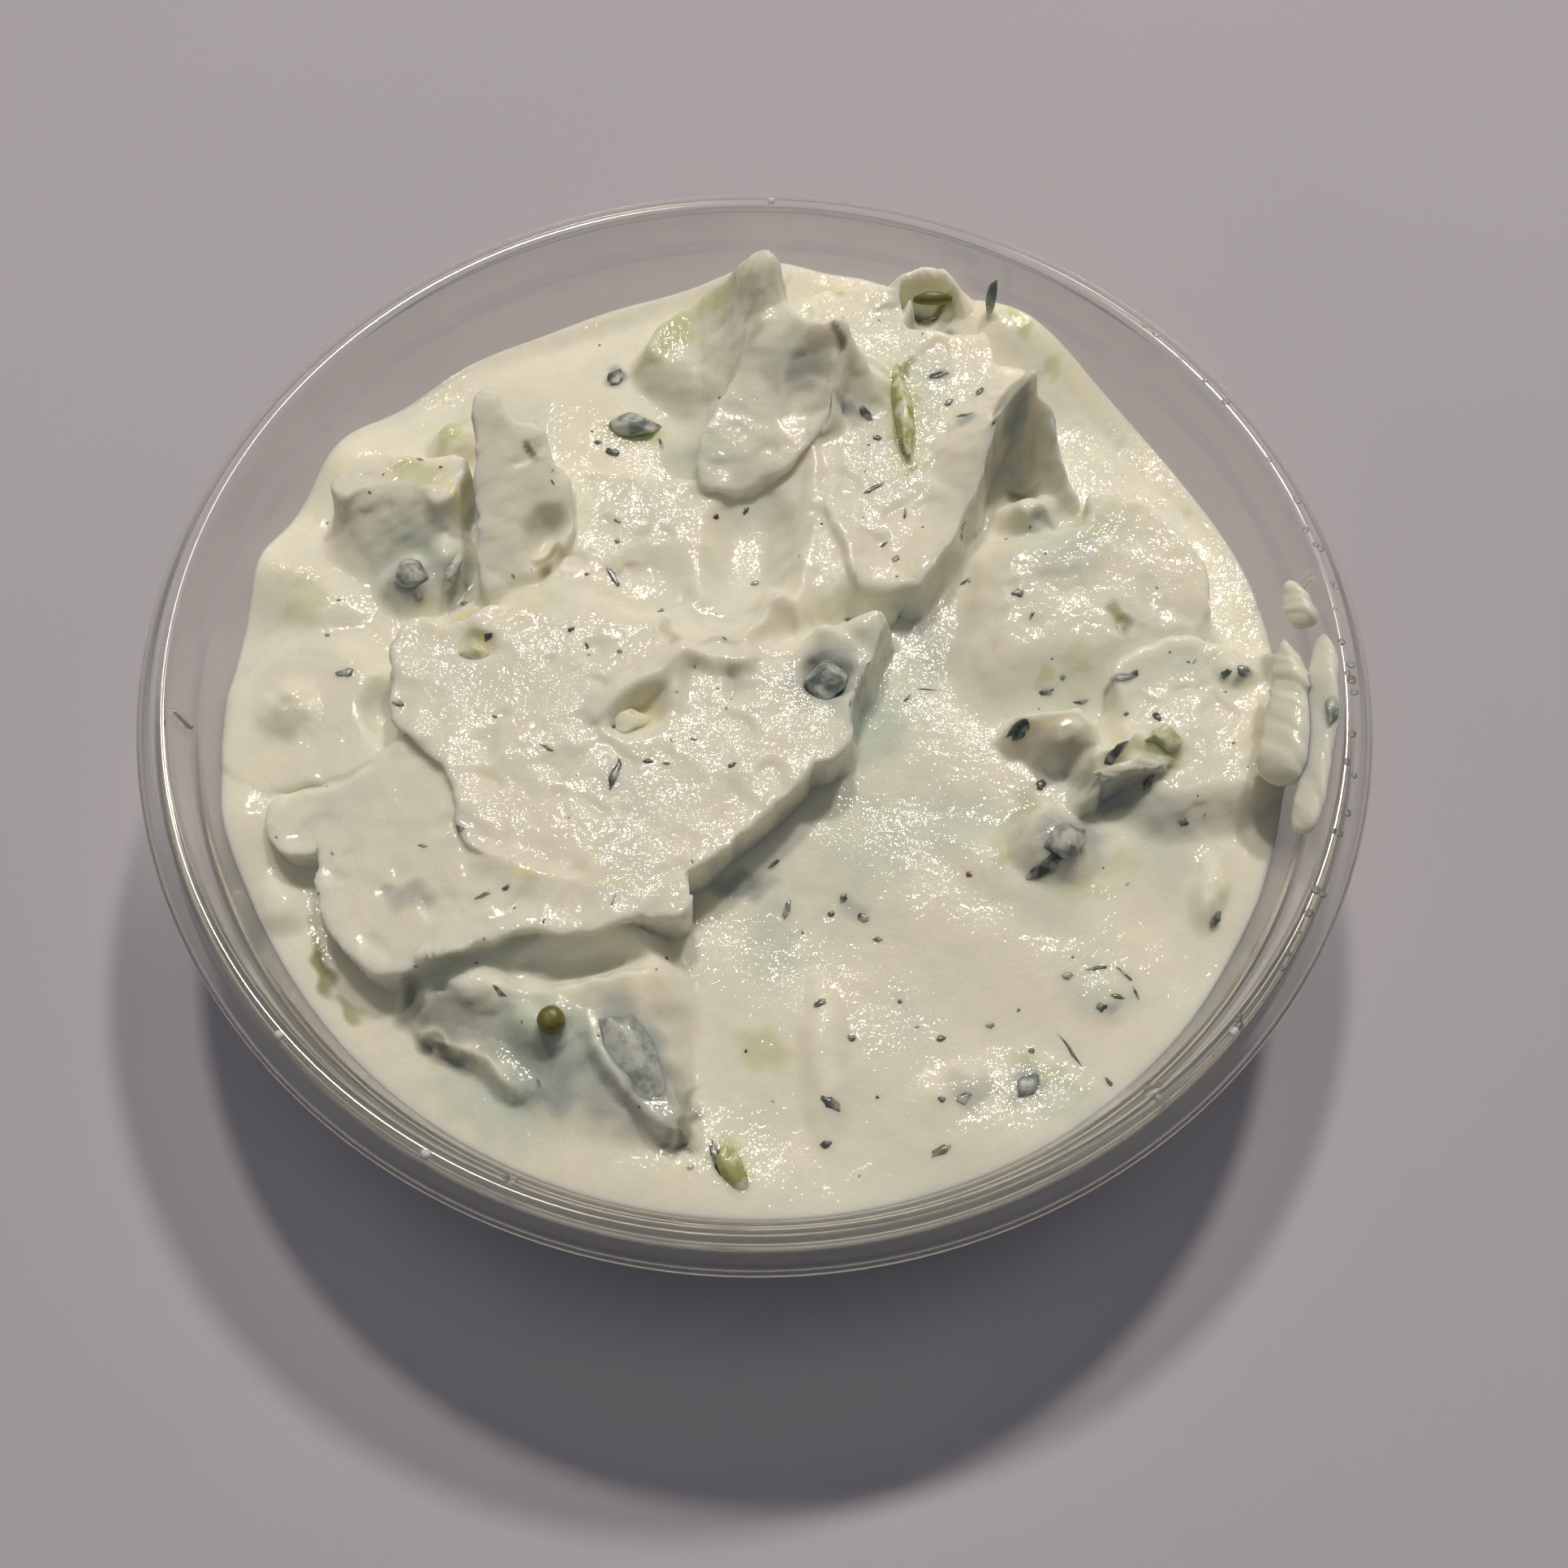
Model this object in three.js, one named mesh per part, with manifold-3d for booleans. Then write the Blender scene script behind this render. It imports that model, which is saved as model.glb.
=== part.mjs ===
// Tzatziki in its clear round takeaway tub: a shallow polypropylene tub with a rolled rim, filled with
// thick strained yogurt that has been spooned into terraces, scoops and pulled peaks, with pieces of
// cucumber, peel and herb showing. Millimetres, +Z up, origin on the table at the middle of the base.
import * as THREE from "three";
import { mergeVertices } from "three/addons/utils/BufferGeometryUtils.js";
import Module from "manifold-3d";

const wasm = await Module();
wasm.setup();

// Driving dimensions of the tub
const LIP_RADIUS = 59; // outermost edge of the rolled rim
const RIM_TOP = 26; // height of the rim's crown above the table
const WALL = 0.7; // thickness of the wall
const FLOOR_TOP = 1.2; // height of the inside floor
const SEAT_RADIUS = 53.9; // inside of the wall just under the lid seat
const SEAT_HEIGHT = 20.6; // height of that point
const TAPER = 0.22; // the inside radius lost for each millimetre down
const CORNER = 3.2; // radius of the rounded corner between wall and floor
const FOOT = { inner: 41.5, outer: 46.2 }; // radii of the flat foot ring
const FOOT_RECESS = 0.5; // how far the middle of the base is raised
const ROUND = 52; // sides of the tub
const LUGS = 6; // upright ribs on the lid seat
const LUG_FIRST = 10.3; // the first rib's angle in degrees
const LUG_SIZE = { width: 0.6, depth: 0.5, bottom: 21.8, top: 25.2, lean: 0.2 };

// Driving dimensions of the dip
const GAP = 0.3; // between pieces that touch
const POOL = 16.2; // level of the smooth pool
const CELLS = 46; // cells across the surface grid
const REACH = 1.5; // a grid point this near to a crest or a sharp edge is moved to it
const LIP_IN = 0.6; // how far inside a sharp edge its turned up lip stands
const LIP_WIDTH = 1.4; // how wide that lip is
const HAIR = 0.22; // half the width that a sharp edge keeps in plan
const SHARP = 1.1; // an edge narrower than this is sharp
const EDGE_ZONE = 45; // radius past which the surface is drawn out to the wall
const WIDE_FACE = 4; // a crest face wider than this is hollow, as pulled dip is
const PULLED = 2.1; // how hollow such a face is, where 1 is a plain slope

// How far the dip has crept up the wall: at an angle, over a width in degrees, by a rise
const CREEPS = [
  { at: 60, width: 11, rise: 4.6 },
  { at: 91, width: 8, rise: 3.2 },
  { at: 79, width: 5, rise: 1.4 },
  { at: 150, width: 7, rise: 2.2 },
  { at: 167, width: 5, rise: 1.8 },
  { at: 199, width: 7, rise: 2.0 },
  { at: 250, width: 16, rise: 1.2 },
  { at: 298, width: 12, rise: 1.2 },
  { at: 120, width: 18, rise: -1.0 },
];

// Layers left by the spoon: a place with the height there, how the top slopes, how far it hangs over,
// how much its edge is turned up, and the outline as places with the width of the edge there
const TERRACES = [
  {
    name: "middle layer",
    at: [-10, 13, 18.8], slope: [0.02, 0.02], over: 0.1, lip: 0.2,
    outline: [
      [-30.7, 7.7, 3], [-26.5, 10.7, 4], [-22.4, 17.7, 4], [-21.4, 22.7, 1.2], [-20.6, 24.9, 1],
      [-15.3, 24.3, 0.8], [-10.2, 23.7, 0.8], [-6.9, 23.8, 1], [0, 25.8, 2], [5, 29.3, 3],
      [7.1, 21.3, 3], [9.1, 12.2, 3], [4, 4.3, 4], [-12.3, 3.5, 4], [-28.6, 4.7, 4],
    ],
  },
  {
    name: "back right layer",
    at: [13, 30, 20.6], slope: [0, 0.03], over: 0.4, lip: 0.15,
    outline: [
      [1, 45, 3], [6.6, 48.4, 0.9], [10, 49.3, 0.8], [13, 48, 0.9], [13.9, 45.4, 0.9], [14, 43.6, 0.8],
      [16.4, 43.2, 0.7], [19, 42.8, 0.7], [21.6, 42.7, 0.7], [23.1, 42.9, 0.7], [23.6, 40.8, 0.7],
      [24.2, 39.2, 0.7], [25.4, 38.6, 0.8], [27.6, 38, 1], [27.4, 33.6, 2], [23.4, 31, 0.8],
      [22.4, 26.4, 0.8], [20.6, 20.2, 0.8], [18, 14.9, 0.8], [16.2, 11.8, 0.9], [13, 9.4, 2],
      [9, 9, 3], [5.4, 10, 4], [5.4, 28, 3],
    ],
  },
  {
    name: "layer by the right wall",
    at: [44, -2, 18.9], slope: [0.01, -0.02], over: 0.7, lip: 0.5,
    outline: [
      [35.8, 1.5, 0.8], [37.4, 3.6, 0.7], [40.4, 5.4, 0.7], [43.2, 5.9, 0.7], [46.7, 4.9, 0.8],
      [49.7, 4.6, 1], [53.2, 4.3, 1.5], [54.1, -2.9, 3], [51.6, -10.1, 3], [45.6, -12.5, 5],
      [38.5, -13.1, 5], [35.5, -7.9, 4], [35.5, -1.8, 2],
    ],
  },
  {
    name: "coated round slice",
    at: [33, 10, 19.3], slope: [0.01, 0.08], over: 0.5, lip: 0.1,
    outline: [
      [45.9, 8.7, 2], [45.5, 12.4, 0.7], [44.6, 15.3, 0.6], [42.9, 17.7, 0.6], [40.9, 20.1, 0.6],
      [38.9, 21.8, 0.6], [36.7, 22.5, 0.7], [35, 22.8, 0.7], [33.6, 22, 0.8], [32.6, 19.9, 3],
      [29.2, 18.8, 6], [24.7, 17.4, 7], [22.4, 14.1, 7], [22.3, 9.3, 7], [21.5, 4.4, 8],
      [24.4, 0.5, 9], [32.5, 1.5, 9], [38.6, 3.4, 7], [44.6, 5.8, 5],
    ],
  },
  {
    name: "round slice at the back",
    at: [-7, 41, 19.7], slope: [0.06, 0.1], over: 0, lip: 0,
    outline: [
      [-14.9, 39.8, 2.5], [-13.2, 43.8, 1.8], [-10.3, 46.7, 1.2], [-6.8, 48.7, 0.9], [-2.6, 49, 0.9],
      [1, 45.4, 3], [-1, 39.1, 4], [-4.1, 34.6, 5], [-9.2, 34.8, 5],
    ],
  },
  {
    name: "lump under the lip",
    at: [-18, -37, 18.9], slope: [0.1, 0.18], over: 0.6, lip: 0,
    outline: [
      [-30.8, -31.2, 3], [-30.8, -34.5, 3], [-29.1, -37.4, 3], [-26.4, -39.4, 3],
      [-23.4, -40.8, 3], [-20.7, -42.7, 3.5], [-18.7, -45.1, 4], [-14.2, -46.1, 5],
      [-9.2, -45.9, 3.5], [-5.4, -45.3, 1.4], [-5.4, -41.4, 2.4], [-6.5, -36.3, 5], [-6.8, -32.2, 5],
      [-10.2, -27.1, 3], [-22.4, -27.1, 3],
    ],
  },
  {
    name: "puddle on the left",
    at: [-43, -7, 17.9], slope: [0.05, 0], over: 0.3, lip: 0.1,
    outline: [
      [-51.7, -12.3, 1.2], [-48.2, -14.2, 1], [-45.1, -13.8, 1], [-40.9, -13, 1], [-37.8, -11.2, 1],
      [-35.9, -7.6, 2], [-36.8, -1.5, 4], [-40.9, 2.7, 5], [-47.2, 3.9, 5], [-52.4, -1, 4],
      [-53.4, -7.2, 3],
    ],
  },
  {
    name: "left layer",
    at: [-36, -22, 19.8], slope: [0.12, 0.01], over: 0.8, lip: 0.15,
    outline: [
      [-45.1, -15, 1.6], [-46.2, -17.3, 1], [-45.7, -19.4, 0.9], [-43.9, -20.8, 0.9],
      [-41.6, -20.8, 0.9], [-40.5, -20.5, 0.9], [-39.8, -22.3, 0.8], [-39.4, -25.4, 0.8],
      [-38.2, -28.2, 0.8], [-36.6, -30.5, 0.8], [-34.3, -32.4, 1], [-31.7, -32.9, 1.2],
      [-29.1, -32.2, 1.4], [-21.9, -28.2, 3], [-19.9, -20.3, 3], [-27, -10, 4], [-34.2, -7.6, 3],
      [-38.4, -12.3, 3],
    ],
  },
  {
    name: "spooned plateau",
    at: [-15, -12, 21.4], slope: [0.008, -0.01], over: 0.9, lip: 0.25,
    outline: [
      [-35.1, 2.6, 0.8], [-35.3, -1, 0.6], [-35.2, -4.6, 0.6], [-34.2, -7.6, 0.7], [-31.6, -10, 0.8],
      [-29.4, -12.2, 0.9], [-27.8, -15.2, 0.9], [-26.8, -18.2, 0.9], [-25.6, -20.4, 0.9],
      [-23, -22, 1.6], [-20.5, -23.6, 3], [-22, -26, 5], [-26, -28.5, 4], [-29.4, -31.4, 1.3],
      [-26.6, -30.8, 0.8], [-24, -29.8, 0.8], [-21, -28.9, 0.8], [-17, -28.6, 0.8],
      [-13.4, -28.1, 0.8], [-10, -27, 0.7], [-6.6, -26.5, 0.7], [-5.7, -25.8, 0.7], [-6, -22.8, 0.8],
      [-4.4, -21.4, 0.7], [-2, -18.9, 0.7], [0.6, -16.5, 0.7], [3, -14.4, 0.7], [4.4, -12.6, 0.7],
      [5.2, -11, 0.7], [7.4, -10.2, 0.7], [8.5, -8.6, 0.8], [8.3, -5, 0.9], [9.2, -1.8, 1],
      [10.6, 1.4, 1], [11.6, 4.6, 1], [9, 6, 2], [6, 5, 3], [2, 4, 5], [-6, 5, 5], [-14, 7, 6],
      [-22, 8, 6], [-27, 6, 2], [-28.4, 3.6, 1], [-31, 2.6, 0.9], [-33.4, 3.3, 0.8],
    ],
  },
  {
    name: "lump left of the fin",
    at: [-38, 20.6, 21.4], slope: [0.02, -0.06], over: 0.4, lip: 0,
    outline: [
      [-45.2, 18.4, 1.8], [-44.6, 21.2, 1.5], [-43, 23.2, 1.5], [-40, 24.3, 1.8], [-36, 24.2, 2],
      [-32, 23.4, 0.9], [-31.5, 21.4, 0.7], [-32, 19, 0.8], [-32.4, 17, 3], [-34, 15.4, 9],
      [-38, 14.8, 11], [-42, 14.8, 10], [-44.4, 16, 6],
    ],
  },
  {
    name: "fin",
    at: [-28.8, 27.9, 27], slope: [-0.336, 0.332], over: 0.6, lip: 0,
    outline: [
      [-28.2, 8, 1.6], [-28.8, 13.3, 0.6], [-29.3, 17.8, 0.6], [-29.8, 23.1, 0.6], [-29.7, 26.4, 0.5],
      [-28.8, 28.1, 0.5], [-27.6, 26.6, 0.6], [-26.6, 25.6, 0.7], [-24.8, 25.4, 0.6],
      [-23.8, 26.1, 0.5], [-23.3, 24.1, 0.7], [-22, 22.1, 0.7], [-20.4, 20.9, 0.6], [-20.3, 18.3, 0.7],
      [-20.1, 15.2, 0.9], [-21.1, 12.6, 1.2], [-23.7, 9.9, 2], [-26, 8, 3],
    ],
  },
  {
    name: "foot of the double peak",
    at: [-3, 24, 20.5], slope: [0.05, 0.2], over: 0.8, lip: 0,
    outline: [
      [-6.9, 22.6, 0.8], [-5, 22, 0.9], [-2, 22.2, 1], [1, 23.8, 0.9], [3.5, 26.4, 0.8],
      [5, 28.8, 0.7], [5.8, 32, 1], [6.4, 36, 2], [2, 41, 3], [-1.5, 44, 3], [-3, 38, 1.8],
      [-4.4, 33, 1], [-6, 29.6, 0.9], [-6.9, 26.5, 0.8],
    ],
  },
];

// Hollows that the spoon left: middle, half sizes, turn in degrees and the height of the bottom
const SCOOPS = [
  { at: [-1.6, 14.6], size: [5.6, 11], turn: -4, bottom: 16.9 },
  { at: [-12, 10.5], size: [6, 5], turn: 20, bottom: 18.1 },
  { at: [18.4, 8.6], size: [4.2, 9.6], turn: -14, bottom: 15.8 },
  { at: [25.8, 26], size: [2.8, 3.6], turn: 0, bottom: 17.6 },
  { at: [-22.9, 14.6], size: [2, 4.2], turn: -18, bottom: 18.5 },
  { at: [-11.2, -5.6], size: [4.6, 2.7], turn: 35, bottom: 19.6 },
  { at: [-37, -5], size: [2.4, 4.6], turn: 10, bottom: 16.2 },
  { at: [-30.6, 4.8], size: [1.6, 2.8], turn: -28, bottom: 17.4 },
  { at: [-27.7, 0.6], size: [2.4, 1.7], turn: 20, bottom: 20.1 },
  { at: [17.2, 45.3], size: [2.8, 1.8], turn: 0, bottom: 19 },
  { at: [34.8, -11.8], size: [2.8, 1.7], turn: 10, bottom: 16.6 },
  { at: [6.6, -1.2], size: [2.6, 2.8], turn: 0, bottom: 19.8 },
  { at: [3.4, 33.4], size: [2.4, 5.4], turn: -12, bottom: 21.2 },
  { at: [-2.4, -2.6], size: [0.9, 2.6], turn: 10, bottom: 20.7 },
  { at: [-14.6, -30.8], size: [10, 2.6], turn: 11, bottom: 17.1 },
];

// Coated lumps: middle, half sizes, turn in degrees and the height of the top
const BUMPS = [
  { at: [-33.6, 28.6], size: [4, 4.4], turn: -20, top: 18.9 },
  { at: [-46.4, -5.3], size: [3.9, 4.2], turn: 0, top: 18.6 },
  { at: [-35.6, 10], size: [5, 4], turn: 0, top: 19 },
  { at: [-32.6, 13.2], size: [2.6, 4], turn: 0, top: 19.4 },
  { at: [-45, 7.6], size: [5.4, 5], turn: 0, top: 17.6 },
  { at: [30.1, -5.9], size: [3.8, 3.2], turn: 0, top: 20.4 },
  { at: [39.7, -6.7], size: [2.6, 2.4], turn: 0, top: 20.5 },
  { at: [28.5, -16.9], size: [5.4, 5], turn: 0, top: 19.4 },
  { at: [48, 2.3], size: [3.2, 1.8], turn: 0, top: 19.9 },
  { at: [27.8, 21.1], size: [4, 3.2], turn: 0, top: 20.1 },
  { at: [20, -41.6], size: [5.6, 4], turn: 0, top: 17 },
  { at: [33.4, -31.4], size: [3.7, 3.5], turn: 0, top: 16.9 },
  { at: [-17.4, -36.7], size: [4.2, 3.4], turn: 0, top: 19.9 },
  { at: [-23.6, -33.7], size: [4.6, 2.6], turn: -18, top: 20 },
  { at: [27.2, 46.8], size: [2, 4.4], turn: -20, top: 20.8 },
  { at: [-44.7, -25.5], size: [4, 3], turn: -60, top: 17.2 },
  { at: [19, 7.2], size: [1, 1], turn: 0, top: 17.4 },
  { at: [25, -19.4], size: [10, 4.6], turn: -32, top: 17.1 },
  { at: [44.2, -20.6], size: [2.4, 5], turn: -6, top: 17.2 },
  { at: [7.6, -38.6], size: [2.6, 10], turn: 4, top: 16.9 },
];

// Crests pulled up by the spoon: points with the crest's height, the width of the face on the left
// and on the right of the run, and how far the crest leans to its left
const RIDGES = [
  {
    run: [
      [-0.7, 46.1, 28.5], [-1.7, 43, 26.4], [-2.4, 38.5, 24], [-3.6, 33.5, 21.9], [-5.4, 29.5, 20.6],
    ],
    left: 2.2, right: 7.5, lean: 0,
  },
  {
    run: [
      [7, 37.3, 28], [5.8, 37.7, 26.7], [4, 38.2, 26.5], [1.9, 39.6, 27.5], [0.6, 42.5, 26.6],
      [-0.7, 46, 28.4],
    ],
    left: 9, right: 1.6, lean: -0.4,
  },
  {
    run: [
      [7, 37.3, 28], [7.2, 36.1, 26.6], [6.9, 34.6, 25], [6.6, 32.7, 23.8], [6.3, 30.5, 22.8],
      [5.7, 29.2, 21.9], [5, 28.4, 21.2],
    ],
    left: 1.3, right: 3.4, lean: 0.4,
  },
  {
    run: [
      [5, 28.4, 21.2], [5.3, 24, 20.9], [5.4, 19, 20.7], [5, 14, 20.5], [4.4, 9.5, 20.5],
      [3.6, 6.9, 21.2], [1.9, 7.3, 22.3], [0.4, 4.6, 21.9], [-1.4, 2.2, 21.6],
    ],
    left: 2.4, right: 5, lean: -0.3,
  },
  { run: [[6.8, 20.4, 20.8], [8.2, 16, 21.1], [9.7, 11.2, 21]], left: 3, right: 0.8, lean: -0.3 },
  {
    run: [
      [15.2, 10.4, 20.9], [16.6, 12.2, 21.3], [18, 14.8, 21.6], [19.8, 18.2, 22.1], [20.8, 20.2, 22.7],
      [21.6, 22.6, 23.4], [22.1, 24.7, 24.2], [22.6, 27.6, 25.2], [23.8, 28.9, 26.2],
      [26.5, 31.8, 28.2],
    ],
    left: 5.5, right: 1.6, lean: -0.5,
  },
  {
    run: [
      [26.5, 31.8, 28.2], [27.2, 30.7, 26.2], [28.8, 29.9, 25.4], [29.6, 28.3, 24.4],
      [30.3, 25.8, 22.6], [30.8, 24.2, 21.4], [32.3, 22.1, 19.6],
    ],
    left: 1.8, right: 3, lean: 0.3,
  },
  {
    run: [
      [12.4, 47, 21.6], [13.8, 49, 22.6], [16, 49.8, 23.1], [18.2, 49.6, 23], [19.6, 48.2, 22.4],
    ],
    left: 2.6, right: 1.1, lean: -0.6,
  },
  { run: [[14.7, 47, 21.8], [14.1, 44.6, 21.7], [13.6, 42, 21.1]], left: 1.4, right: 1.2, lean: 0 },
  {
    run: [
      [5.4, 1.4, 21.8], [6.4, 3.4, 22.8], [8.2, 3, 22], [11.8, 5.2, 23], [10.9, 2, 22.2],
      [9.4, -2.2, 22], [8.4, -5.4, 22.2], [8.2, -8.4, 21.9],
    ],
    left: 1.4, right: 1.8, lean: 0.3,
  },
  {
    run: [
      [-14.8, -6.6, 21.9], [-12.4, -3.4, 22.3], [-9, -1.5, 22.5], [-7.4, 0.4, 23.1],
      [-4.6, -0.4, 22.3], [-1.4, 0, 22.4],
    ],
    left: 2, right: 1.1, lean: 0,
  },
  { run: [[-7.4, 0.4, 23], [-8, -2, 22.2], [-8, -4.6, 21.8]], left: 1.2, right: 1.4, lean: 0 },
  {
    run: [
      [-23.6, -21.4, 21.9], [-20.4, -23, 21.9], [-16.4, -24, 21.8],
    ],
    left: 1.6, right: 2.4, lean: 0,
  },
  {
    run: [
      [32.6, -11.6, 19.4], [33.3, -10.5, 20.5], [36, -9.5, 20.8], [39, -8.8, 20.4],
    ],
    left: 2, right: 0.9, lean: -0.5,
  },
  {
    run: [
      [26, -4.4, 20.1], [28.6, -3.7, 20.9], [31.4, -3.8, 21], [33, -5.6, 20.6], [33.1, -8.2, 19.8],
    ],
    left: 1.6, right: 2.4, lean: 0,
  },
  { run: [[33, -8.4, 20.4], [35.4, -7, 21.2], [37, -5.6, 20.8]], left: 1, right: 1.6, lean: 0 },
  {
    run: [
      [-14.4, -35.4, 19.6], [-12.8, -38.6, 20.2], [-10, -42.6, 20.2], [-5.6, -46, 19.4],
    ],
    left: 2.6, right: 1, lean: 0,
  },
  { run: [[-27, -39, 18.9], [-22.6, -40.6, 19.2], [-20, -43, 18.9]], left: 2.4, right: 0.8, lean: 0.4 },
];

// Flecks of peel and herb on the surface: place, length, width and turn in degrees
const FLECKS = [
  { at: [-17.5, 39], size: [2.6, 1.6], turn: 70 },
  { at: [-17, 28.3], size: [1.8, 0.9], turn: -20 },
  { at: [-13.2, -12.8], size: [3, 1], turn: 80 },
  { at: [-26.6, -18.9], size: [1.5, 1], turn: 0 },
  { at: [-41.2, -1], size: [2, 1], turn: 10 },
  { at: [-15.3, 11.1], size: [2.6, 0.8], turn: -60 },
  { at: [10.2, 31.3], size: [1.8, 1.1], turn: -40 },
  { at: [11.2, 22.2], size: [2.4, 0.8], turn: 40 },
  { at: [18.2, 37.2], size: [2.4, 1.5], turn: 20 },
  { at: [19.2, 33.6], size: [1.6, 0.9], turn: 50 },
  { at: [26.2, 10.4], size: [1.6, 1.2], turn: 0 },
  { at: [29, 0.4], size: [1.5, 0.8], turn: 20 },
  { at: [25.8, -5.1], size: [2, 1.4], turn: 10 },
  { at: [28.2, -9.8], size: [1.3, 1], turn: 60 },
  { at: [38.1, -10.4], size: [1.6, 0.9], turn: 60 },
  { at: [35, -7.8], size: [2.8, 1], turn: 40 },
  { at: [37.2, 1.1], size: [2.4, 0.9], turn: 30 },
  { at: [41.6, -13.8], size: [1.3, 1], turn: 0 },
  { at: [3.6, -23.8], size: [2.2, 0.9], turn: 75 },
  { at: [1, -21.4], size: [3.6, 1.4], turn: 5 },
  { at: [10, -24], size: [2.8, 1.3], turn: -15 },
  { at: [7, -33.2], size: [1.8, 1.1], turn: 20 },
  { at: [8.2, -42.6], size: [2, 1.3], turn: -30 },
  { at: [20, -42.2], size: [2, 1.3], turn: 50 },
  { at: [29.6, -37], size: [3.2, 0.8], turn: -55 },
  { at: [44.2, -23.4], size: [2.2, 1.2], turn: 60 },
  { at: [47.6, 2.4], size: [2.2, 1.2], turn: 15 },
];
const FLECK_THICK = 0.9;
const FLECK_PROUD = 0.25; // how much of a fleck stands above the dip

// Pieces large enough to pick out: what each is made of, its middle, its size along, across and
// through, its turns in degrees about Z then about its own X and Y, and how far it is bowed
const PIECES = [
  {
    name: "cucumber_chunk_middle", skin: "peel", at: [6.8, -1.6, 20.9],
    size: [4.8, 4.4, 3.6], turn: [30, 30, 0], bow: 0.3,
  },
  {
    name: "cucumber_leaf_front", skin: "coated", at: [-9.2, -39.8, 19.2],
    size: [12.8, 4.6, 1.7], turn: [-58, -8, 6], bow: 1,
  },
  {
    name: "cucumber_peel_right", skin: "peel", at: [29.6, -17.2, 19.3],
    size: [5, 3.4, 1.8], turn: [28, 16, 0], bow: 0.7,
  },
  {
    name: "cucumber_fold_right", skin: "coated", at: [36, -9.7, 20.4],
    size: [7, 1.9, 1.8], turn: [14, 12, 0], bow: 0.4,
  },
  {
    name: "cucumber_green_right", skin: "flesh", at: [39.9, -6.2, 20],
    size: [3.8, 3, 2.4], turn: [0, 16, 10], bow: 0.3,
  },
  {
    name: "cucumber_strip_back", skin: "flesh", at: [14.2, 31.4, 21.2],
    size: [13.6, 2.3, 1.8], turn: [-84, 20, 0], bow: 0.6,
  },
  {
    name: "peel_sliver_back", skin: "peel", at: [23.8, 47, 22],
    size: [5.4, 1.2, 0.9], turn: [80, 0, -78], bow: 0.3,
  },
  {
    name: "peel_triangle_front", skin: "peel", at: [-0.4, -48.6, 16.9],
    size: [5.2, 2.2, 1.6], turn: [-62, 16, 0], bow: 0.4,
  },
  {
    name: "seed_front", skin: "olive", at: [-16.9, -36.9, 20.4],
    size: [2.5, 2.5, 2.5], turn: [0, 0, 0], bow: 0,
  },
  {
    name: "cucumber_arc_back", skin: "peel", at: [-14.8, 31.6, 17.3],
    size: [5.6, 2.6, 1.8], turn: [4, 20, 0], bow: 1,
  },
  {
    name: "cucumber_chunk_left", skin: "peel", at: [-36, 10.2, 19],
    size: [4, 3, 2.2], turn: [10, 20, 0], bow: 0.4,
  },
  {
    name: "cucumber_blade_left", skin: "peel", at: [-31.8, 10.8, 19],
    size: [4.6, 1.6, 1.5], turn: [74, 10, 0], bow: 0.2,
  },
  {
    name: "cucumber_crater", skin: "flesh", at: [-12.6, -6.6, 19.9],
    size: [4.8, 3, 2], turn: [30, 8, 0], bow: 0.3,
  },
  {
    name: "cucumber_flap_back", skin: "olive", at: [17.4, 46.8, 22],
    size: [4.4, 1.4, 1.4], turn: [4, 20, 0], bow: 0.4,
  },
  {
    name: "peel_wedge_right", skin: "peel", at: [25.8, -40.2, 16.5],
    size: [3.8, 1.9, 1.5], turn: [55, 10, 0], bow: 0.2,
  },
  {
    name: "cucumber_oval_left", skin: "flesh", at: [-28, 0.2, 20.5],
    size: [3.2, 2.2, 1.6], turn: [20, 8, 0], bow: 0.2,
  },
];
const PIECE_SIDES = [10, 6]; // faces round and along a piece
const SQUARENESS = 0.75; // under 1 squares a piece off, 1 leaves it an ellipsoid
const END_TAPER = 0.35; // how much narrower a piece is at its ends
const KNOB = 0.06; // how knobbly a piece is

// The dip that has been wiped over the wall and onto the rim, as runs of places, each with half the
// width and half the thickness there
const RIM_SMEAR = [
  [
    [50.9, 2.8, 24.6, 0.5, 0.5], [51.3, 1, 23.9, 1.5, 1.2], [51.6, -1.2, 23.3, 1.7, 1.5],
    [51.5, -3.2, 22.9, 1.5, 1.4], [51.1, -5.6, 22.6, 2.4, 1.9], [50.4, -9, 22.3, 2.8, 2],
    [49.5, -12, 21.8, 2.2, 1.5],
  ],
  [
    [54.6, 3.2, 25.2, 0.8, 0.5], [54.4, -0.5, 24.8, 1.5, 0.8], [54, -5, 24.2, 1.6, 0.9],
    [53, -10, 23.6, 1.5, 0.9], [51.9, -14.6, 23, 1.6, 0.9], [51, -17, 22.6, 1.3, 0.7],
  ],
];
const RIM_DAB = [
  [
    [52, 9.6, 24.6, 0.6, 0.5], [52.7, 7.6, 24.4, 1.2, 0.9], [53, 5.8, 24.2, 1.5, 1.1],
    [52.8, 4.6, 24, 1, 0.8],
  ],
];
const RUN_SIDES = 8; // sides of such a run
const RUN_LEAN = 1.2; // how much such a run faces up, to 1 for how much it faces the tub's middle
const RIM_HERB = { at: [54.3, -5.4, 25.6], size: [3.6, 1.3, 0.7], turn: [84, 0, 0], bow: 0.2 };

// Finishes, from the real materials: clear polypropylene, strained yogurt, cucumber flesh and peel
const CLEAR = { transparent: true, opacity: 0.35 };
const finish = (color, roughness, more) => new THREE.MeshStandardMaterial({ color, roughness, ...more });
const FINISH = {
  tub: finish(0xd9d7d4, 0.15, CLEAR),
  dip: finish(0xe6e3d0, 0.35),
  peel: finish(0x4d5c50, 0.4),
  flesh: finish(0xb9c191, 0.4),
  olive: finish(0x6b6a2c, 0.4),
  coated: finish(0xbfc3bb, 0.4),
};

const radians = THREE.MathUtils.degToRad;

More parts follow.
